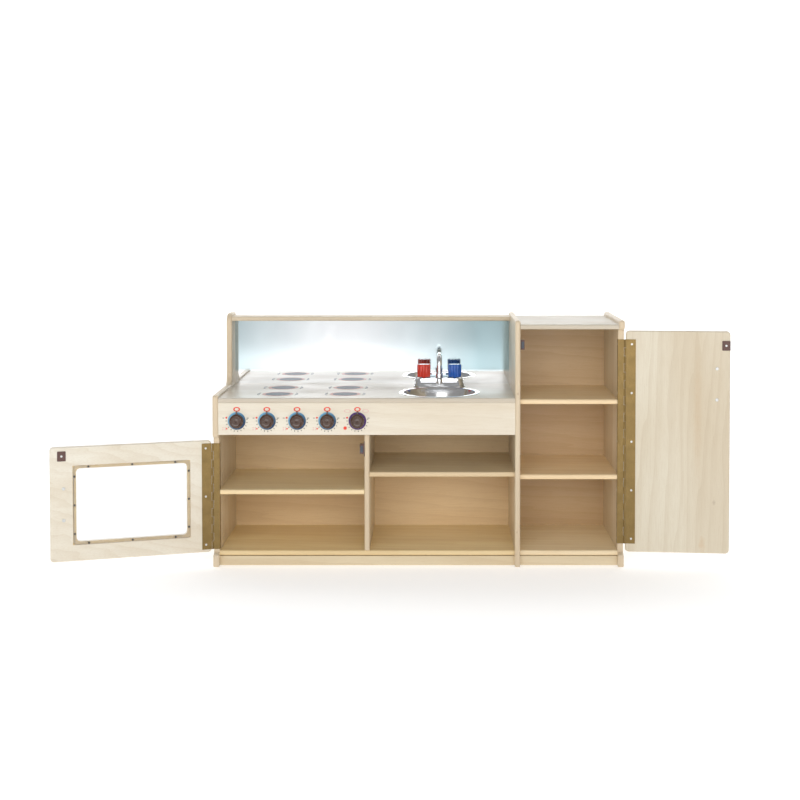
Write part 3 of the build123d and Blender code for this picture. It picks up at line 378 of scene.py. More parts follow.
def flat_ring(mesh, inner, outer, thick, where, start=0.0, sweep=2 * math.pi, steps=48):
    """A thin printed ring or arc, spun from its small square section."""
    section = [mesh.verts.new((radius, 0, height))
               for radius, height in ((inner, 0), (outer, 0), (outer, thick), (inner, thick))]
    face = mesh.faces.new(section)
    whole = sweep > 2 * math.pi - 0.01
    bmesh.ops.rotate(mesh, verts=section, cent=(0, 0, 0), matrix=Matrix.Rotation(start, 3, "Z"))
    before = set(mesh.verts) - set(section)
    edges = list(face.edges)
    if whole:
        mesh.faces.remove(face)
    geometry = section + edges + ([] if whole else [face])
    bmesh.ops.spin(mesh, geom=geometry, cent=(0, 0, 0), axis=(0, 0, 1), angle=sweep,
                   steps=steps, use_merge=whole)
    fresh = [v for v in mesh.verts if v not in before]
    bmesh.ops.transform(mesh, matrix=where, verts=fresh)


def flat_disc(mesh, radius, thick, where, segments=48):
    """A thin printed disc."""
    made = bmesh.ops.create_cone(mesh, cap_ends=True, cap_tris=False, segments=segments,
                                 radius1=radius, radius2=radius, depth=thick)
    bmesh.ops.transform(mesh, matrix=where @ Matrix.Translation((0, 0, thick / 2)),
                        verts=made["verts"])


burner_low, burner_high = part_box("burner_prints")
burner_places = [Matrix.Translation((x, y, burner_low.z))
                 for x in (burner_low.x + BURNER_RADIUS, burner_high.x - BURNER_RADIUS)
                 for y in (burner_low.y + BURNER_RADIUS, burner_high.y - BURNER_RADIUS)]
discs = bmesh.new()
glows = bmesh.new()
arcs = bmesh.new()
for place in burner_places:
    flat_disc(discs, BURNER_DISC, PRINT_THICK, place)
    flat_ring(glows, BURNER_DISC, BURNER_GLOW, PRINT_THICK * 0.8, place)
    for side in (0, 180):
        flat_ring(arcs, BURNER_RADIUS - ARC_WIDTH, BURNER_RADIUS, PRINT_THICK, place,
                  math.radians(side - OUTER_ARC / 2), math.radians(OUTER_ARC), 16)
        inner_arc = BURNER_RADIUS - ARC_GAP
        flat_ring(arcs, inner_arc, inner_arc + ARC_WIDTH, PRINT_THICK, place,
                  math.radians(side - INNER_ARC / 2), math.radians(INNER_ARC), 8)
slate_ink = ink_finish("slate_ink", (0.085, 0.115, 0.150))
pink_ink = ink_finish("pink_ink", (0.60, 0.33, 0.30))
burner_discs = keep_piece(discs, "burner_discs", slate_ink, "cabinet")
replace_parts(burner_discs, "burner_prints")
keep_piece(glows, "burner_glow_rings", pink_ink, "cabinet")
keep_piece(arcs, "burner_arcs", slate_ink, "cabinet")

# ---- Dial marks ----
# Round each knob: a printed blue ring, purple on the last, a red oval over it, and ticks,
# dashes and dots for the settings. Screen printed on the control panel.

DIAL_RADIUS = 27.5 * MM
TICK_REACH = 32 * MM
TICKS = 11
TICK_STEP = 19
OVAL_RISE = 36 * MM
dial_low, dial_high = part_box("dial_prints")
knob_places = [pivots["knob_%d_turn" % n] for n in range(1, 6)]
TO_FRONT = Matrix.Rotation(math.pi / 2, 4, "X")


def on_panel(x, z, turn=0.0):
    """A place on the control panel's face, looking out of it."""
    return (Matrix.Translation((x, dial_high.y, z)) @ TO_FRONT
            @ Matrix.Rotation(turn, 4, "Z"))


def dash(mesh, x, z, length, width, turn=0.0):
    """A small printed bar with clipped corners."""
    made = bmesh.ops.create_cube(mesh, size=1.0)
    bmesh.ops.scale(mesh, vec=(length, width, PRINT_THICK), verts=made["verts"])
    upright = [e for e in {edge for v in made["verts"] for edge in v.link_edges}
               if abs(e.verts[0].co.z - e.verts[1].co.z) > PRINT_THICK / 2]
    bent = bmesh.ops.bevel(mesh, geom=upright, offset=width * 0.3, affect="EDGES", segments=2,
                           profile=0.5, material=-1)
    verts = {v for face in bent["faces"] for v in face.verts} | {v for v in made["verts"]
                                                                 if v.is_valid}
    bmesh.ops.transform(mesh, matrix=on_panel(x, z, turn)
                        @ Matrix.Translation((0, 0, PRINT_THICK / 2)), verts=list(verts))


def oval(mesh, x, z, wide, tall, line):
    """A printed oval outline."""
    before = set(mesh.verts)
    flat_ring(mesh, wide / 2 - line, wide / 2, PRINT_THICK, Matrix.Identity(4))
    fresh = [v for v in mesh.verts if v not in before]
    bmesh.ops.scale(mesh, vec=(1, tall / wide, 1), verts=fresh)
    bmesh.ops.transform(mesh, matrix=on_panel(x, z), verts=fresh)


blue_rings = bmesh.new()
purple_ring = bmesh.new()
red_marks = bmesh.new()
dark_marks = bmesh.new()
pink_marks = bmesh.new()
for number, knob in enumerate(knob_places, start=1):
    ring = purple_ring if number == 5 else blue_rings
    flat_ring(ring, 12 * MM, DIAL_RADIUS, PRINT_THICK * 0.8, on_panel(knob.x, knob.z))
    for tick in range(TICKS):
        angle = math.radians(180 + TICK_STEP * tick)
        dash(dark_marks, knob.x + TICK_REACH * math.cos(angle),
             knob.z + TICK_REACH * math.sin(angle), 4.8 * MM, 2.0 * MM, angle)
    dash(dark_marks, knob.x + 34 * MM, knob.z + 9 * MM, 7 * MM, 2 * MM)
    dash(dark_marks, knob.x - 41 * MM, knob.z + 9 * MM, 6 * MM, 2 * MM)
    flat_disc(red_marks, 3.0 * MM, PRINT_THICK,
              on_panel(knob.x - TICK_REACH, knob.z + 10 * MM), 20)
    if number < 5:
        oval(red_marks, knob.x, knob.z + OVAL_RISE, 21 * MM, 14.5 * MM, 4.2 * MM)
        flat_disc(red_marks, 2.4 * MM, PRINT_THICK,
                  on_panel(knob.x - 31 * MM, knob.z - 24 * MM), 20)
        for dx in (-3.6, 3.6):
            for dz in (-3.0, 3.0):
                flat_disc(pink_marks, 1.8 * MM, PRINT_THICK,
                          on_panel(knob.x - 39 * MM + dx * MM, knob.z - 24 * MM + dz * MM), 16)
    else:
        for dx in (-31, 25):
            oval(pink_marks, knob.x + dx * MM, knob.z + 31 * MM, 20 * MM, 11 * MM, 2.2 * MM)
        oval(red_marks, knob.x, knob.z + OVAL_RISE, 20 * MM, 14 * MM, 4.0 * MM)
        dash(red_marks, knob.x - 38 * MM, knob.z - 22 * MM, 10 * MM, 10 * MM)
blue_ink, tree, shader = begin_finish("blue_ring_ink", (0.06, 0.22, 0.42), 0.42, IOR=1.45)
place = add(tree, "TexCoord").outputs["Object"]
parts = add(tree, "SeparateXYZ", {0: place}).outputs
slant = calculated(tree, "SUBTRACT", parts[0], parts[2])
slant = calculated(tree, "ADD", slant, DIAL_RADIUS - knob_places[0].x + knob_places[0].z)
pitch = knob_places[1].x - knob_places[0].x
number_along = calculated(tree, "SUBTRACT", parts[0], knob_places[0].x - pitch / 2)
number_along = calculated(tree, "FLOOR", calculated(tree, "DIVIDE", number_along, pitch))
slant = calculated(tree, "SUBTRACT", slant, calculated(tree, "MULTIPLY", number_along, pitch))
shade = ranged(tree, slant, -10 * MM, 2 * DIAL_RADIUS + 5 * MM)
base = mixed(tree, shade, (0.17, 0.47, 0.72), (0.020, 0.060, 0.150))
wear = spotted(tree, place, 500.0, 3.0)
base = mixed(tree, ranged(tree, wear, 0.6, 0.75, 0.0, 0.5), base, (0.35, 0.45, 0.52))
tree.links.new(base, shader.inputs["Base Color"])
tree.links.new(ranged(tree, wear, 0.3, 0.7, 0.34, 0.5), shader.inputs["Roughness"])
raised(tree, shader, wear, 0.05, 0.0002)
dial_rings = keep_piece(blue_rings, "dial_blue_rings", blue_ink, "cabinet")
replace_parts(dial_rings, "dial_prints")
for mesh, name, colour in ((purple_ring, "dial_purple_ring", (0.070, 0.018, 0.160)),
                           (red_marks, "dial_red_marks", (0.80, 0.045, 0.020)),
                           (dark_marks, "dial_ticks", (0.16, 0.15, 0.12)),
                           (pink_marks, "dial_pink_marks", (0.74, 0.46, 0.42))):
    keep_piece(mesh, name, ink_finish(name + "_ink", colour), "cabinet")

# ---- Knobs ----
# Five moulded knobs: a domed round cap with a dimple in its middle, fine grip ribs round its
# side and a pointer tab. Glossy dark brown plastic on a stem that snaps into its bushing.

KNOB_RADIUS = 21.8 * MM
KNOB_BODY = 17 * MM
KNOB_GAP = 1.1 * MM
STEM_RADIUS = 5 * MM
POINTER = (7 * MM, 12 * MM, 6 * MM)
POINTER_OUT = 24.5 * MM
GRIP_RIBS = 24
GRIP_RIB = (1.6 * MM, 0.7 * MM, 4.6 * MM)


def lathe(mesh, profile, where, steps=64):
    """Turns a (radius, height) profile round its own axis and puts it in place."""
    before = set(mesh.verts)
    corners = [mesh.verts.new((radius, 0, height)) for radius, height in profile]
    lines = [mesh.edges.new(pair) for pair in zip(corners, corners[1:])]
    bmesh.ops.spin(mesh, geom=corners + lines, cent=(0, 0, 0), axis=(0, 0, 1),
                   angle=2 * math.pi, steps=steps, use_merge=True)
    fresh = [v for v in mesh.verts if v not in before]
    bmesh.ops.remove_doubles(mesh, verts=fresh, dist=1e-6)
    fresh = [v for v in mesh.verts if v not in before]
    bmesh.ops.transform(mesh, matrix=where, verts=fresh)


knob_brown = moulded_finish("knob_brown", (0.052, 0.018, 0.006), 0.24, Coat_Weight=0.4,
                            Coat_Roughness=0.12)
for number, knob in enumerate(knob_places, start=1):
    name = "knob_%d" % number
    seat = Matrix.Translation((knob.x, dial_low.y - KNOB_GAP, knob.z)) @ TO_FRONT
    stem_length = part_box(name)[1].y - dial_low.y + KNOB_GAP
    cap = bmesh.new()
    lathe(cap, [(0, -stem_length), (STEM_RADIUS - 1 * MM, -stem_length),
                (STEM_RADIUS + 1.2 * MM, -stem_length + 4 * MM),
                (STEM_RADIUS, -stem_length + 4.2 * MM), (STEM_RADIUS, 0),
                (KNOB_RADIUS - 0.6 * MM, 0), (KNOB_RADIUS, 0.6 * MM),
                (KNOB_RADIUS, 5.6 * MM), (KNOB_RADIUS - 0.9 * MM, 6.4 * MM),
                (KNOB_RADIUS - 0.9 * MM, 7.4 * MM), (KNOB_RADIUS - 0.2 * MM, 8.2 * MM),
                (KNOB_RADIUS - 0.3 * MM, KNOB_BODY - 5 * MM),
                (KNOB_RADIUS - 1.2 * MM, KNOB_BODY - 2.6 * MM),
                (KNOB_RADIUS - 3.2 * MM, KNOB_BODY - 0.8 * MM), (KNOB_RADIUS - 5.6 * MM, KNOB_BODY),
                (KNOB_RADIUS - 7.0 * MM, KNOB_BODY - 0.5 * MM),
                (KNOB_RADIUS - 8.2 * MM, KNOB_BODY - 1.4 * MM), (6 * MM, KNOB_BODY - 1.7 * MM),
                (4.6 * MM, KNOB_BODY - 0.9 * MM), (3.6 * MM, KNOB_BODY - 0.9 * MM),
                (2.8 * MM, KNOB_BODY - 2.4 * MM), (0, KNOB_BODY - 2.7 * MM)], seat, 80)
    rib = bmesh.ops.create_cube(cap, size=1.0)["verts"]
    bmesh.ops.scale(cap, vec=POINTER, verts=rib)
    bmesh.ops.translate(cap, vec=(0, POINTER_OUT, 0.6 * MM + POINTER[2] / 2), verts=rib)
    tip = [v for v in rib if v.co.y > 28 * MM]
    for vert in tip:
        vert.co.x *= 0.45
        vert.co.z = 0.6 * MM + (vert.co.z - 0.6 * MM) * 0.7
    rib_edges = list({edge for v in rib for edge in v.link_edges})
    bent = bmesh.ops.bevel(cap, geom=rib_edges, offset=0.7 * MM, affect="EDGES", segments=3,
                           profile=0.5, material=-1, clamp_overlap=True)
    body = {v for v in rib if v.is_valid} | {v for face in bent["faces"] for v in face.verts}
    bmesh.ops.transform(cap, matrix=seat, verts=list(body))
    piece = keep_piece(cap, name + "_cap", knob_brown, name)
    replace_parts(piece, name)
    ribs = bmesh.new()
    for spoke in range(GRIP_RIBS):
        notch = bmesh.ops.create_cube(ribs, size=1.0)["verts"]
        bmesh.ops.scale(ribs, vec=GRIP_RIB, verts=notch)
        bmesh.ops.translate(ribs, vec=(KNOB_RADIUS - 0.75 * MM, 0, 10.4 * MM), verts=notch)
        bmesh.ops.rotate(ribs, verts=notch, cent=(0, 0, 0),
                         matrix=Matrix.Rotation((spoke + 0.5) * 2 * math.pi / GRIP_RIBS, 3, "Z"))
    bmesh.ops.bevel(ribs, geom=ribs.edges[:], offset=0.18 * MM, affect="EDGES", segments=2,
                    profile=0.5, material=-1, clamp_overlap=True)
    bmesh.ops.transform(ribs, matrix=seat, verts=ribs.verts[:])
    keep_piece(ribs, name + "_grip_ribs", knob_brown, name)

# ---- Sink bowl ----
# A spun stainless steel bowl with a rolled rim, dropped into a round cut-out in the worktop
# and held from below by four clips. Polished, with fine rings left by the spinning.

sink_low, sink_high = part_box("sink_bowl")
sink_middle = (sink_low + sink_high) / 2
SINK_RIM = (sink_high.x - sink_low.x) / 2
SINK_BOWL = 114.5 * MM
SINK_FLOOR = 84 * MM
SINK_DEEP = 95 * MM
WALL = 1.0 * MM
RIM_RISE = 1.6 * MM
CORNER_ROUND = 24 * MM
CORNER_INSET = 14 * MM
GROOVES = 9000.0
rim_z = sink_high.z - RIM_RISE


def bowl_corner(inner):
    """Points round the corner between the bowl's side and its floor."""
    centre = (SINK_FLOOR - CORNER_INSET, -SINK_DEEP + CORNER_ROUND)
    reach = CORNER_ROUND if inner else CORNER_ROUND + WALL
    return [(centre[0] + reach * math.sin(math.radians(angle)),
             centre[1] - reach * math.cos(math.radians(angle)))
            for angle in (0, 12, 24, 36, 48, 60, 70)]


inside = [(0, -SINK_DEEP + 0.6 * MM), (40 * MM, -SINK_DEEP + 0.2 * MM)] + bowl_corner(True)
inside += [(SINK_BOWL - 3 * MM, -6 * MM), (SINK_BOWL - WALL, -1.2 * MM),
           (SINK_BOWL - 0.4 * MM, 0.6 * MM), (SINK_BOWL + 1.2 * MM, RIM_RISE),
           (SINK_RIM - 2.4 * MM, RIM_RISE), (SINK_RIM - 0.8 * MM, RIM_RISE * 0.75),
           (SINK_RIM, 0.1 * MM)]
outside = [(SINK_BOWL, 0.1 * MM), (SINK_BOWL - 1.2 * MM, -6 * MM)]
outside += list(reversed(bowl_corner(False))) + [(0, -SINK_DEEP - 0.9 * MM)]
basin = bmesh.new()
lathe(basin, inside + outside,
      Matrix.Translation((sink_middle.x, sink_middle.y, rim_z)), 128)
steel, tree, shader = begin_finish("polished_steel", (0.74, 0.74, 0.74), 0.16, Metallic=1.0,
                                   Anisotropic=0.35)
place = add(tree, "TexCoord").outputs["Object"]
centred = moved(tree, place, shift=(-sink_middle.x, -sink_middle.y, -rim_z))
flat = moved(tree, centred, scale=(1, 1, 0))
outward = add(tree, "VectorMath", {0: flat}, operation="LENGTH").outputs["Value"]
groove = calculated(tree, "SINE", calculated(tree, "MULTIPLY", outward, GROOVES))
scratch = spotted(tree, place, 600.0, 4.0)
smear = spotted(tree, place, 18.0, 4.0)
gloss = ranged(tree, scratch, 0.3, 0.7, 0.09, 0.20)
gloss = calculated(tree, "ADD", gloss, ranged(tree, smear, 0.4, 0.8, 0.0, 0.10))
tree.links.new(gloss, shader.inputs["Roughness"])
tree.links.new(mixed(tree, ranged(tree, smear, 0.4, 0.75, 0.0, 0.3), (0.78, 0.78, 0.78),
                     (0.62, 0.61, 0.59)), shader.inputs["Base Color"])
raised(tree, shader, calculated(tree, "ADD", groove, scratch), 0.05, 0.0001)
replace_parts(keep_piece(basin, "sink_basin", steel, "cabinet", 50), "sink_bowl")
drain = bmesh.new()
lathe(drain, [(0, 0.9 * MM), (6 * MM, 0.9 * MM), (7 * MM, 2.2 * MM), (15 * MM, 2.2 * MM),
              (17 * MM, 1.2 * MM), (18 * MM, 0.3 * MM)],
      Matrix.Translation((sink_middle.x, sink_middle.y, rim_z - SINK_DEEP)), 48)
keep_piece(drain, "sink_floor_stud", steel, "cabinet", 50)

# ---- Faucet base and spout ----
# A centre-set faucet: one chromed base that flares towards the worktop, with a hub in its
# middle, and a bent tube spout with a screwed-on aerator that swivels in the hub.

chrome, tree, shader = begin_finish("chrome_plate", (0.80, 0.81, 0.83), 0.06, Metallic=1.0)
place = add(tree, "TexCoord").outputs["Object"]
fingers = spotted(tree, place, 45.0, 4.0, 0.4)
pits = spotted(tree, place, 1400.0, 2.0)
tree.links.new(ranged(tree, fingers, 0.4, 0.75, 0.04, 0.16), shader.inputs["Roughness"])
tree.links.new(mixed(tree, ranged(tree, fingers, 0.5, 0.8, 0.0, 0.3), (0.82, 0.83, 0.85),
                     (0.66, 0.66, 0.66)), shader.inputs["Base Color"])
raised(tree, shader, pits, 0.04, 0.0001)

BASE_LEVELS = ((2.5, 0.0), (4.5, -1.8), (9.0, -3.6), (15.0, -6.4), (21.0, -8.6), (26.0, -9.6),
               (27.6, -10.2), (28.0, -11.4))
HUB_RADIUS = 12.5 * MM
SHANK_RADIUS = 6 * MM
SHANK_DEEP = 38 * MM
base_low, base_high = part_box("faucet_base")
hub_place = pivots["spout_swivel"]
plate_half = (base_high.x - base_low.x) / 2
plate_deep = (base_high.y - base_low.y) / 2
base_mesh = bmesh.new()
stretch = plate_half - plate_deep
outline = bmesh.ops.create_circle(base_mesh, cap_ends=True, segments=64,
                                  radius=plate_deep)["verts"]
for vert in outline:
    vert.co.x += math.copysign(stretch, vert.co.x) if abs(vert.co.x) > 1e-6 else 0
level_face = base_mesh.faces[:]
reached = 0.0
for level, draw_in in BASE_LEVELS:
    made = bmesh.ops.extrude_face_region(base_mesh, geom=level_face)["geom"]
    level_verts = [v for v in made if isinstance(v, bmesh.types.BMVert)]
    bmesh.ops.translate(base_mesh, vec=(0, 0, (level - reached) * MM), verts=level_verts)
    long_now = max(v.co.x for v in level_verts)
    deep_now = max(v.co.y for v in level_verts)
    bmesh.ops.scale(base_mesh, vec=((plate_half + draw_in * MM) / long_now,
                                    (plate_deep + draw_in * MM) / deep_now, 1),
                    verts=level_verts)
    level_face = [f for f in made if isinstance(f, bmesh.types.BMFace)]
    reached = level
bmesh.ops.transform(base_mesh, matrix=Matrix.Translation((hub_place.x, hub_place.y, rim_z)),
                    verts=base_mesh.verts[:])
for handle_name in ("hot_handle_turn", "cold_handle_turn"):
    there = pivots[handle_name]
    lathe(base_mesh, [(0, -SHANK_DEEP), (SHANK_RADIUS - 1 * MM, -SHANK_DEEP),
                      (SHANK_RADIUS, -SHANK_DEEP + 1 * MM), (SHANK_RADIUS, 1 * MM),
                      (0, 1 * MM)], Matrix.Translation((there.x, there.y, rim_z)), 24)
lathe(base_mesh, [(0, 20 * MM), (HUB_RADIUS, 20 * MM), (HUB_RADIUS, 29 * MM),
                  (11.6 * MM, 30 * MM), (11.6 * MM, 31 * MM), (HUB_RADIUS, 32 * MM),
                  (12.3 * MM, 33.6 * MM),
                  (11.6 * MM, 34 * MM), (0, 34 * MM)],
      Matrix.Translation((hub_place.x, hub_place.y, rim_z)))
base_piece = keep_piece(base_mesh, "faucet_escutcheon", chrome, "cabinet")
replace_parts(base_piece, "faucet_base")

SPOUT_RADIUS = 8 * MM
SPOUT_BEND = 28 * MM
spout_low, spout_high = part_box("faucet_spout")
spout_top = spout_high.z - SPOUT_RADIUS
spout_foot = rim_z + 34.5 * MM
AERATOR_RADIUS = 10 * MM
spout_tip_y = spout_low.y + AERATOR_RADIUS
tube = bmesh.new()
ring = bmesh.ops.create_circle(tube, cap_ends=False, segments=32, radius=SPOUT_RADIUS)["verts"]
bmesh.ops.translate(tube, vec=(hub_place.x, hub_place.y, spout_foot + 2 * MM), verts=ring)
ring_edges = tube.edges[:]


def pushed(edges, vec):
    """Draws an open tube's end ring straight on."""
    made = bmesh.ops.extrude_edge_only(tube, edges=edges)["geom"]
    bmesh.ops.translate(tube, vec=vec, verts=[v for v in made if isinstance(v, bmesh.types.BMVert)])
    return [e for e in made if isinstance(e, bmesh.types.BMEdge)
            and abs((e.verts[0].co - e.verts[1].co).length) < SPOUT_RADIUS * 0.25]


def bent_round(edges, centre):
    """Carries an open tube's end ring through a quarter bend towards the front."""
    verts = list({v for e in edges for v in e.verts})
    made = bmesh.ops.spin(tube, geom=verts + edges, cent=centre, axis=(1, 0, 0),
                          angle=math.pi / 2, steps=10)["geom_last"]
    return [e for e in made if isinstance(e, bmesh.types.BMEdge)]


ring_edges = pushed(ring_edges, (0, 0, spout_top - SPOUT_BEND - spout_foot - 2 * MM))
ring_edges = bent_round(ring_edges, (hub_place.x, hub_place.y - SPOUT_BEND,
                                     spout_top - SPOUT_BEND))
reach = hub_place.y - spout_tip_y - 2 * SPOUT_BEND
ring_edges = pushed(ring_edges, (0, -reach, 0))
ring_edges = bent_round(ring_edges, (hub_place.x, hub_place.y - SPOUT_BEND - reach,
                                     spout_top - SPOUT_BEND))
lathe(tube, [(0, 0), (11.4 * MM, 0), (12 * MM, 0.6 * MM), (12 * MM, 7.5 * MM),
             (11 * MM, 9.4 * MM), (9 * MM, 10 * MM), (SPOUT_RADIUS, 10.2 * MM)],
      Matrix.Translation((hub_place.x, hub_place.y, spout_foot)), 48)
lathe(tube, [(6 * MM, 4 * MM), (6 * MM, -0.2 * MM), (6.6 * MM, -0.4 * MM),
             (AERATOR_RADIUS - 0.8 * MM, 0), (AERATOR_RADIUS, 0.8 * MM),
             (AERATOR_RADIUS, 5 * MM), (AERATOR_RADIUS - 0.7 * MM, 5.6 * MM),
             (AERATOR_RADIUS - 0.7 * MM, 6.6 * MM), (AERATOR_RADIUS, 7.2 * MM),
             (AERATOR_RADIUS, 14.2 * MM), (AERATOR_RADIUS - 0.8 * MM, 15.6 * MM),
             (SPOUT_RADIUS, 16 * MM)],
      Matrix.Translation((hub_place.x, spout_tip_y, spout_low.z)), 48)
lathe(tube, [(0, 5 * MM), (6 * MM, 5 * MM), (6 * MM, 3.6 * MM), (0, 3.4 * MM)],
      Matrix.Translation((hub_place.x, spout_tip_y, spout_low.z)), 24)
lathe(tube, [(0, -13 * MM), (6 * MM, -13 * MM), (6 * MM, 0.2 * MM), (0, 0.2 * MM)],
      Matrix.Translation((hub_place.x, hub_place.y, spout_foot)), 24)
bmesh.ops.remove_doubles(tube, verts=tube.verts[:], dist=1e-6)
spout_piece = keep_piece(tube, "faucet_spout_tube", chrome, "faucet_spout", 40)
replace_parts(spout_piece, "faucet_spout")

# ---- Faucet handles ----
# Two fluted see-through acrylic handles, red for hot and blue for cold, each screwed to its
# valve stem under a small metal button.


def acrylic_finish(name, colour):
    """Tinted see-through acrylic with moulding haze inside and fine scuffs."""
    finish, tree, shader = begin_finish(name, colour, 0.10, IOR=1.49, Transmission_Weight=0.25,
                                        Coat_Weight=0.5, Coat_Roughness=0.06)
    place = add(tree, "TexCoord").outputs["Object"]
    haze_and_painted_reflection = spotted(tree, place, 55.0, 3.0, 0.6)
    scuff = spotted(tree, place, 900.0, 2.0)
    pale = tuple(min(1.0, part * 1.25 + 0.05) for part in colour)
    tree.links.new(mixed(tree, ranged(tree, haze_and_painted_reflection, 0.35, 0.7, 0.0, 0.7), colour, pale),
                   shader.inputs["Base Color"])
    tree.links.new(ranged(tree, scuff, 0.35, 0.75, 0.06, 0.20), shader.inputs["Roughness"])
    raised(tree, shader, scuff, 0.05, 0.0002)
    return finish


HANDLE_RADIUS = 22.5 * MM
FLUTES = 10
FLUTE_DEPTH = 0.13
HANDLE_LEVELS = ((0.06, 1.03), (0.5, 1.035), (0.94, 1.0), (1.0, 0.90))
for handle_name, handle_colour in (("hot", (0.92, 0.045, 0.018)), ("cold", (0.012, 0.14, 0.62))):
    body = handle_name + "_handle"
    handle_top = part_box(body)[1].z
    there = pivots[body + "_turn"]
    foot_z = there.z + 0.5 * MM
    tall = handle_top - foot_z
    fluted = bmesh.new()
    ring = bmesh.ops.create_circle(fluted, cap_ends=True, segments=FLUTES * 6,
                                   radius=HANDLE_RADIUS - 1.5 * MM)["verts"]
    for vert in ring:
        angle = math.atan2(vert.co.y, vert.co.x)
        dent = max(0.0, math.cos(FLUTES * angle)) ** 1.5
        vert.co.xy *= 1.0 - FLUTE_DEPTH * dent
    face = fluted.faces[:]
    previous = 0.0
    for level, growth in HANDLE_LEVELS:
        made = bmesh.ops.extrude_face_region(fluted, geom=face)["geom"]
        raised_verts = [v for v in made if isinstance(v, bmesh.types.BMVert)]
        bmesh.ops.translate(fluted, vec=(0, 0, (level - previous) * tall), verts=raised_verts)
        bmesh.ops.scale(fluted, vec=(growth, growth, 1), verts=raised_verts)
        face = [f for f in made if isinstance(f, bmesh.types.BMFace)]
        previous = level
    bmesh.ops.inset_region(fluted, faces=face, thickness=5 * MM, depth=-1.2 * MM)
    bmesh.ops.transform(fluted, matrix=Matrix.Translation((there.x, there.y, foot_z)),
                        verts=fluted.verts[:])
    lathe(fluted, [(0, -13 * MM), (5 * MM, -13 * MM), (5 * MM, 0.1 * MM), (0, 0.1 * MM)],
          Matrix.Translation((there.x, there.y, foot_z)), 24)
    piece = keep_piece(fluted, handle_name + "_fluted_handle",
                       acrylic_finish(handle_name + "_acrylic", handle_colour), body,
                       40)
    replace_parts(piece, body)
    button = bmesh.new()
    lathe(button, [(7.5 * MM, -1.4 * MM), (7.5 * MM, -0.5 * MM), (6.6 * MM, -0.1 * MM), (0, 0)],
          Matrix.Translation((there.x, there.y, handle_top)), 32)
    keep_piece(button, handle_name + "_button", chrome, body)

# ---- Doors ----
# Oven door with a rounded window and a clear acrylic pane screwed into a rabbet, and the tall
# refrigerator door. Both are maple plywood with the edges rounded over; bar pulls face outward.

fridge_low, fridge_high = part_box("fridge_door_board")
fridge_wide = fridge_high.x - fridge_low.x


def on_fridge(across, height):
    """A point on the open refrigerator door, by its share of the width; the door slants."""
    depth_share = 0.86 - 0.72 * across
    return (fridge_low.x + fridge_wide * across,
            fridge_low.y + (fridge_high.y - fridge_low.y) * depth_share, height)


fridge_knots = (
    (on_fridge(0.40, 0.711), 0.0040, 0.55, KNOT_BROWN, 1.2),
    (on_fridge(0.75, 0.708), 0.0038, 0.55, KNOT_BROWN, 1.2),
    (on_fridge(0.14, 0.648), 0.0036, 0.50, KNOT_BROWN, 1.2),
    (on_fridge(0.85, 0.205), 0.0085, 0.80, KNOT_BROWN, 1.4),
    (on_fridge(0.74, 0.075), 0.0120, 0.50, STAIN_ORANGE, 2.6),
    (on_fridge(0.74, 0.075), 0.0045, 0.80, KNOT_BROWN, 4.5),
    (on_fridge(0.69, 0.480), 0.0140, 0.22, STAIN_ORANGE, 16.0),
)
coat_node("oven_door_board", maple_finish("maple_oven_door", "x", 33.7, (1.02, 1.09, 1.22),
                                          rabbet=(*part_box("oven_window"), (0.84, 0.66, 0.36))))
coat_node("fridge_door_board", maple_finish("maple_fridge_door", "z", 36.2, (0.90, 0.93, 0.97),
                                            knots=fridge_knots))

pane, tree, shader = begin_finish("clear_acrylic_sheet", (0.90, 0.91, 0.91), 0.04, IOR=1.49,
                                  Alpha=0.16)
place = add(tree, "TexCoord").outputs["Object"]
scuff = spotted(tree, place, 260.0, 4.0, 0.3)
tree.links.new(ranged(tree, scuff, 0.45, 0.8, 0.02, 0.12), shader.inputs["Roughness"])
tree.links.new(mixed(tree, ranged(tree, scuff, 0.5, 0.8, 0.0, 0.3), (0.90, 0.92, 0.92),
                     (0.80, 0.83, 0.84)), shader.inputs["Base Color"])
raised(tree, shader, scuff, 0.02, 0.0001)
coat_node("oven_window", pane)
coat_node("oven_window_screws", metal_finish("black_oxide", (0.10, 0.095, 0.09), 0.38))
nickel = metal_finish("satin_nickel", (0.62, 0.60, 0.56), 0.26, (1, 1, 0.08), 0.2)
coat_node("oven_pull_handle", nickel)
coat_node("fridge_pull_handle", nickel)

# ---- Continuous hinges ----
# Full-height piano hinges: two brass-plated leaves whose knuckles share one wire pin.
# One leaf wraps the panel's edge and the other is screwed flat to the door.

brass = metal_finish("brass_plate", (0.26, 0.176, 0.070), 0.30, (1, 1, 0.05), 0.45)
for name in ("oven_hinge_cabinet_leaf", "oven_hinge_pin", "fridge_hinge_cabinet_leaf",
             "fridge_hinge_pin", "oven_hinge_door_leaf", "fridge_hinge_door_leaf"):
    coat_node(name, brass)

# ---- Magnetic catches ----
# A brown plastic housing with a ferrite magnet on the divider, and a brown-painted steel
# strike plate on each door that meets it.

strike_paint = moulded_finish("strike_brown", (0.100, 0.045, 0.036), 0.42)
coat_node("catch_housings", strike_paint)
coat_node("oven_strike_plate", strike_paint)
coat_node("fridge_strike_plate", strike_paint)
coat_node("catch_magnets", moulded_finish("ferrite", (0.055, 0.065, 0.085), 0.35))

# ---- Floor, lights and camera ----
# A pale studio floor, a lit wall far behind and two broad soft lights in front. The camera
# stands before the kitchen at an adult's chest height and looks slightly down.

STUDIO_SIZE = 30
WALL_AWAY = 12


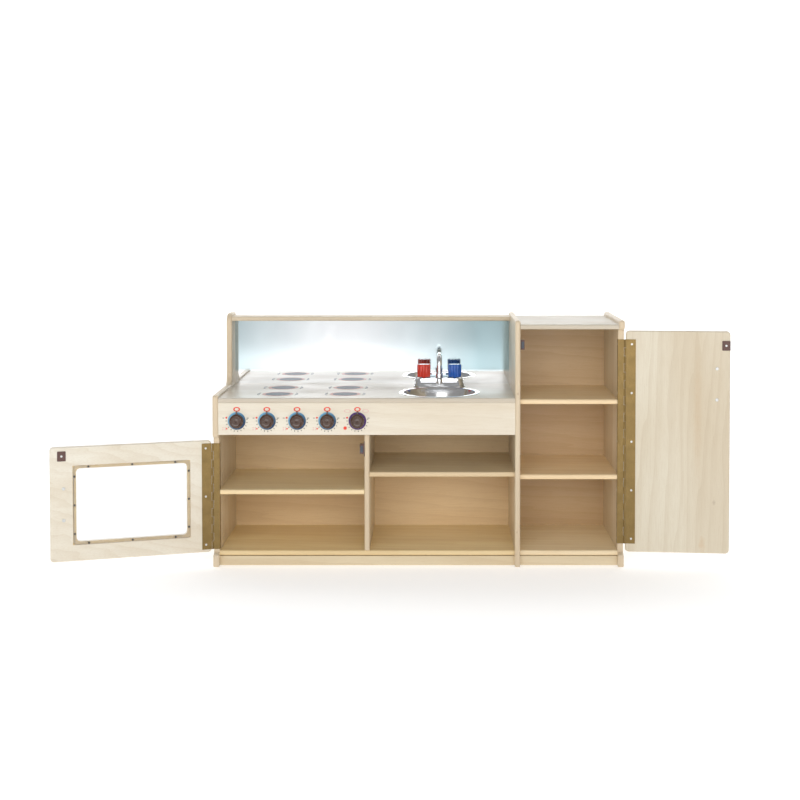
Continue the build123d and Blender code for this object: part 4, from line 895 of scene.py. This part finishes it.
def studio_sheet(name, where, finish):
    """A large flat sheet of the studio round the kitchen."""
    sheet_mesh = bmesh.new()
    bmesh.ops.create_grid(sheet_mesh, x_segments=4, y_segments=4, size=STUDIO_SIZE)
    bmesh.ops.transform(sheet_mesh, matrix=where, verts=sheet_mesh.verts[:])
    data = bpy.data.meshes.new(name)
    sheet_mesh.to_mesh(data)
    sheet_mesh.free()
    data.materials.append(finish)
    sheet = bpy.data.objects.new(name, data)
    bpy.context.scene.collection.objects.link(sheet)


floor_finish, tree, shader = begin_finish("studio_paper", (0.90, 0.90, 0.90), 0.9)
shader.inputs["Specular IOR Level"].default_value = 0.0
shader.inputs["Emission Color"].default_value = (1, 1, 1, 1)
shader.inputs["Emission Strength"].default_value = 0.42
place = add(tree, "TexCoord").outputs["Object"]
fibres = spotted(tree, place, 60.0, 3.0)
tree.links.new(mixed(tree, ranged(tree, fibres, 0.3, 0.7), (0.90, 0.90, 0.90),
                     (0.92, 0.92, 0.92)), shader.inputs["Base Color"])
studio_sheet("studio_floor", Matrix.Translation((0, 0, -0.5 * MM)), floor_finish)
wall_finish, tree, shader = begin_finish("lit_wall", (0.9, 0.9, 0.9), 0.9)
shader.inputs["Emission Color"].default_value = (1, 1, 1, 1)
shader.inputs["Emission Strength"].default_value = 1.0
studio_sheet("studio_wall", Matrix.Translation((0, WALL_AWAY, 0)) @ TO_FRONT, wall_finish)

studio = bpy.data.worlds.new("studio")
bpy.context.scene.world = studio
studio.use_nodes = True
studio.node_tree.nodes["Background"].inputs["Color"].default_value = (1, 1, 1, 1)
studio.node_tree.nodes["Background"].inputs["Strength"].default_value = 0.33


def soft_light(name, place, aim, wide, tall, power):
    """One large rectangular softbox."""
    lamp = bpy.data.lights.new(name, "AREA")
    lamp.shape = "RECTANGLE"
    lamp.size = wide
    lamp.size_y = tall
    lamp.energy = power
    holder = bpy.data.objects.new(name, lamp)
    holder.location = place
    holder.rotation_euler = (Vector(aim) - Vector(place)).to_track_quat("-Z", "Y").to_euler()
    bpy.context.scene.collection.objects.link(holder)


KITCHEN_MIDDLE = (0.63, 0.1, 0.4)
soft_light("key_softbox", (0.0, -4.2, 2.9), KITCHEN_MIDDLE, 3.0, 1.6, 26)
soft_light("low_softbox", (0.5, -6.0, 1.9), KITCHEN_MIDDLE, 7.0, 2.4, 150)

camera_data = bpy.data.cameras.new("chest_height_camera")
camera_data.sensor_width = 36
camera_data.lens = 61.52
camera_data.shift_x = -0.04375
camera_data.shift_y = -0.172
camera = bpy.data.objects.new("chest_height_camera", camera_data)
camera.location = (0.677, -4.216, 1.0916)
camera.rotation_euler = (math.radians(90 - 1.99), 0, 0)
bpy.context.scene.collection.objects.link(camera)
bpy.context.scene.camera = camera
bpy.context.scene.view_settings.view_transform = "Standard"
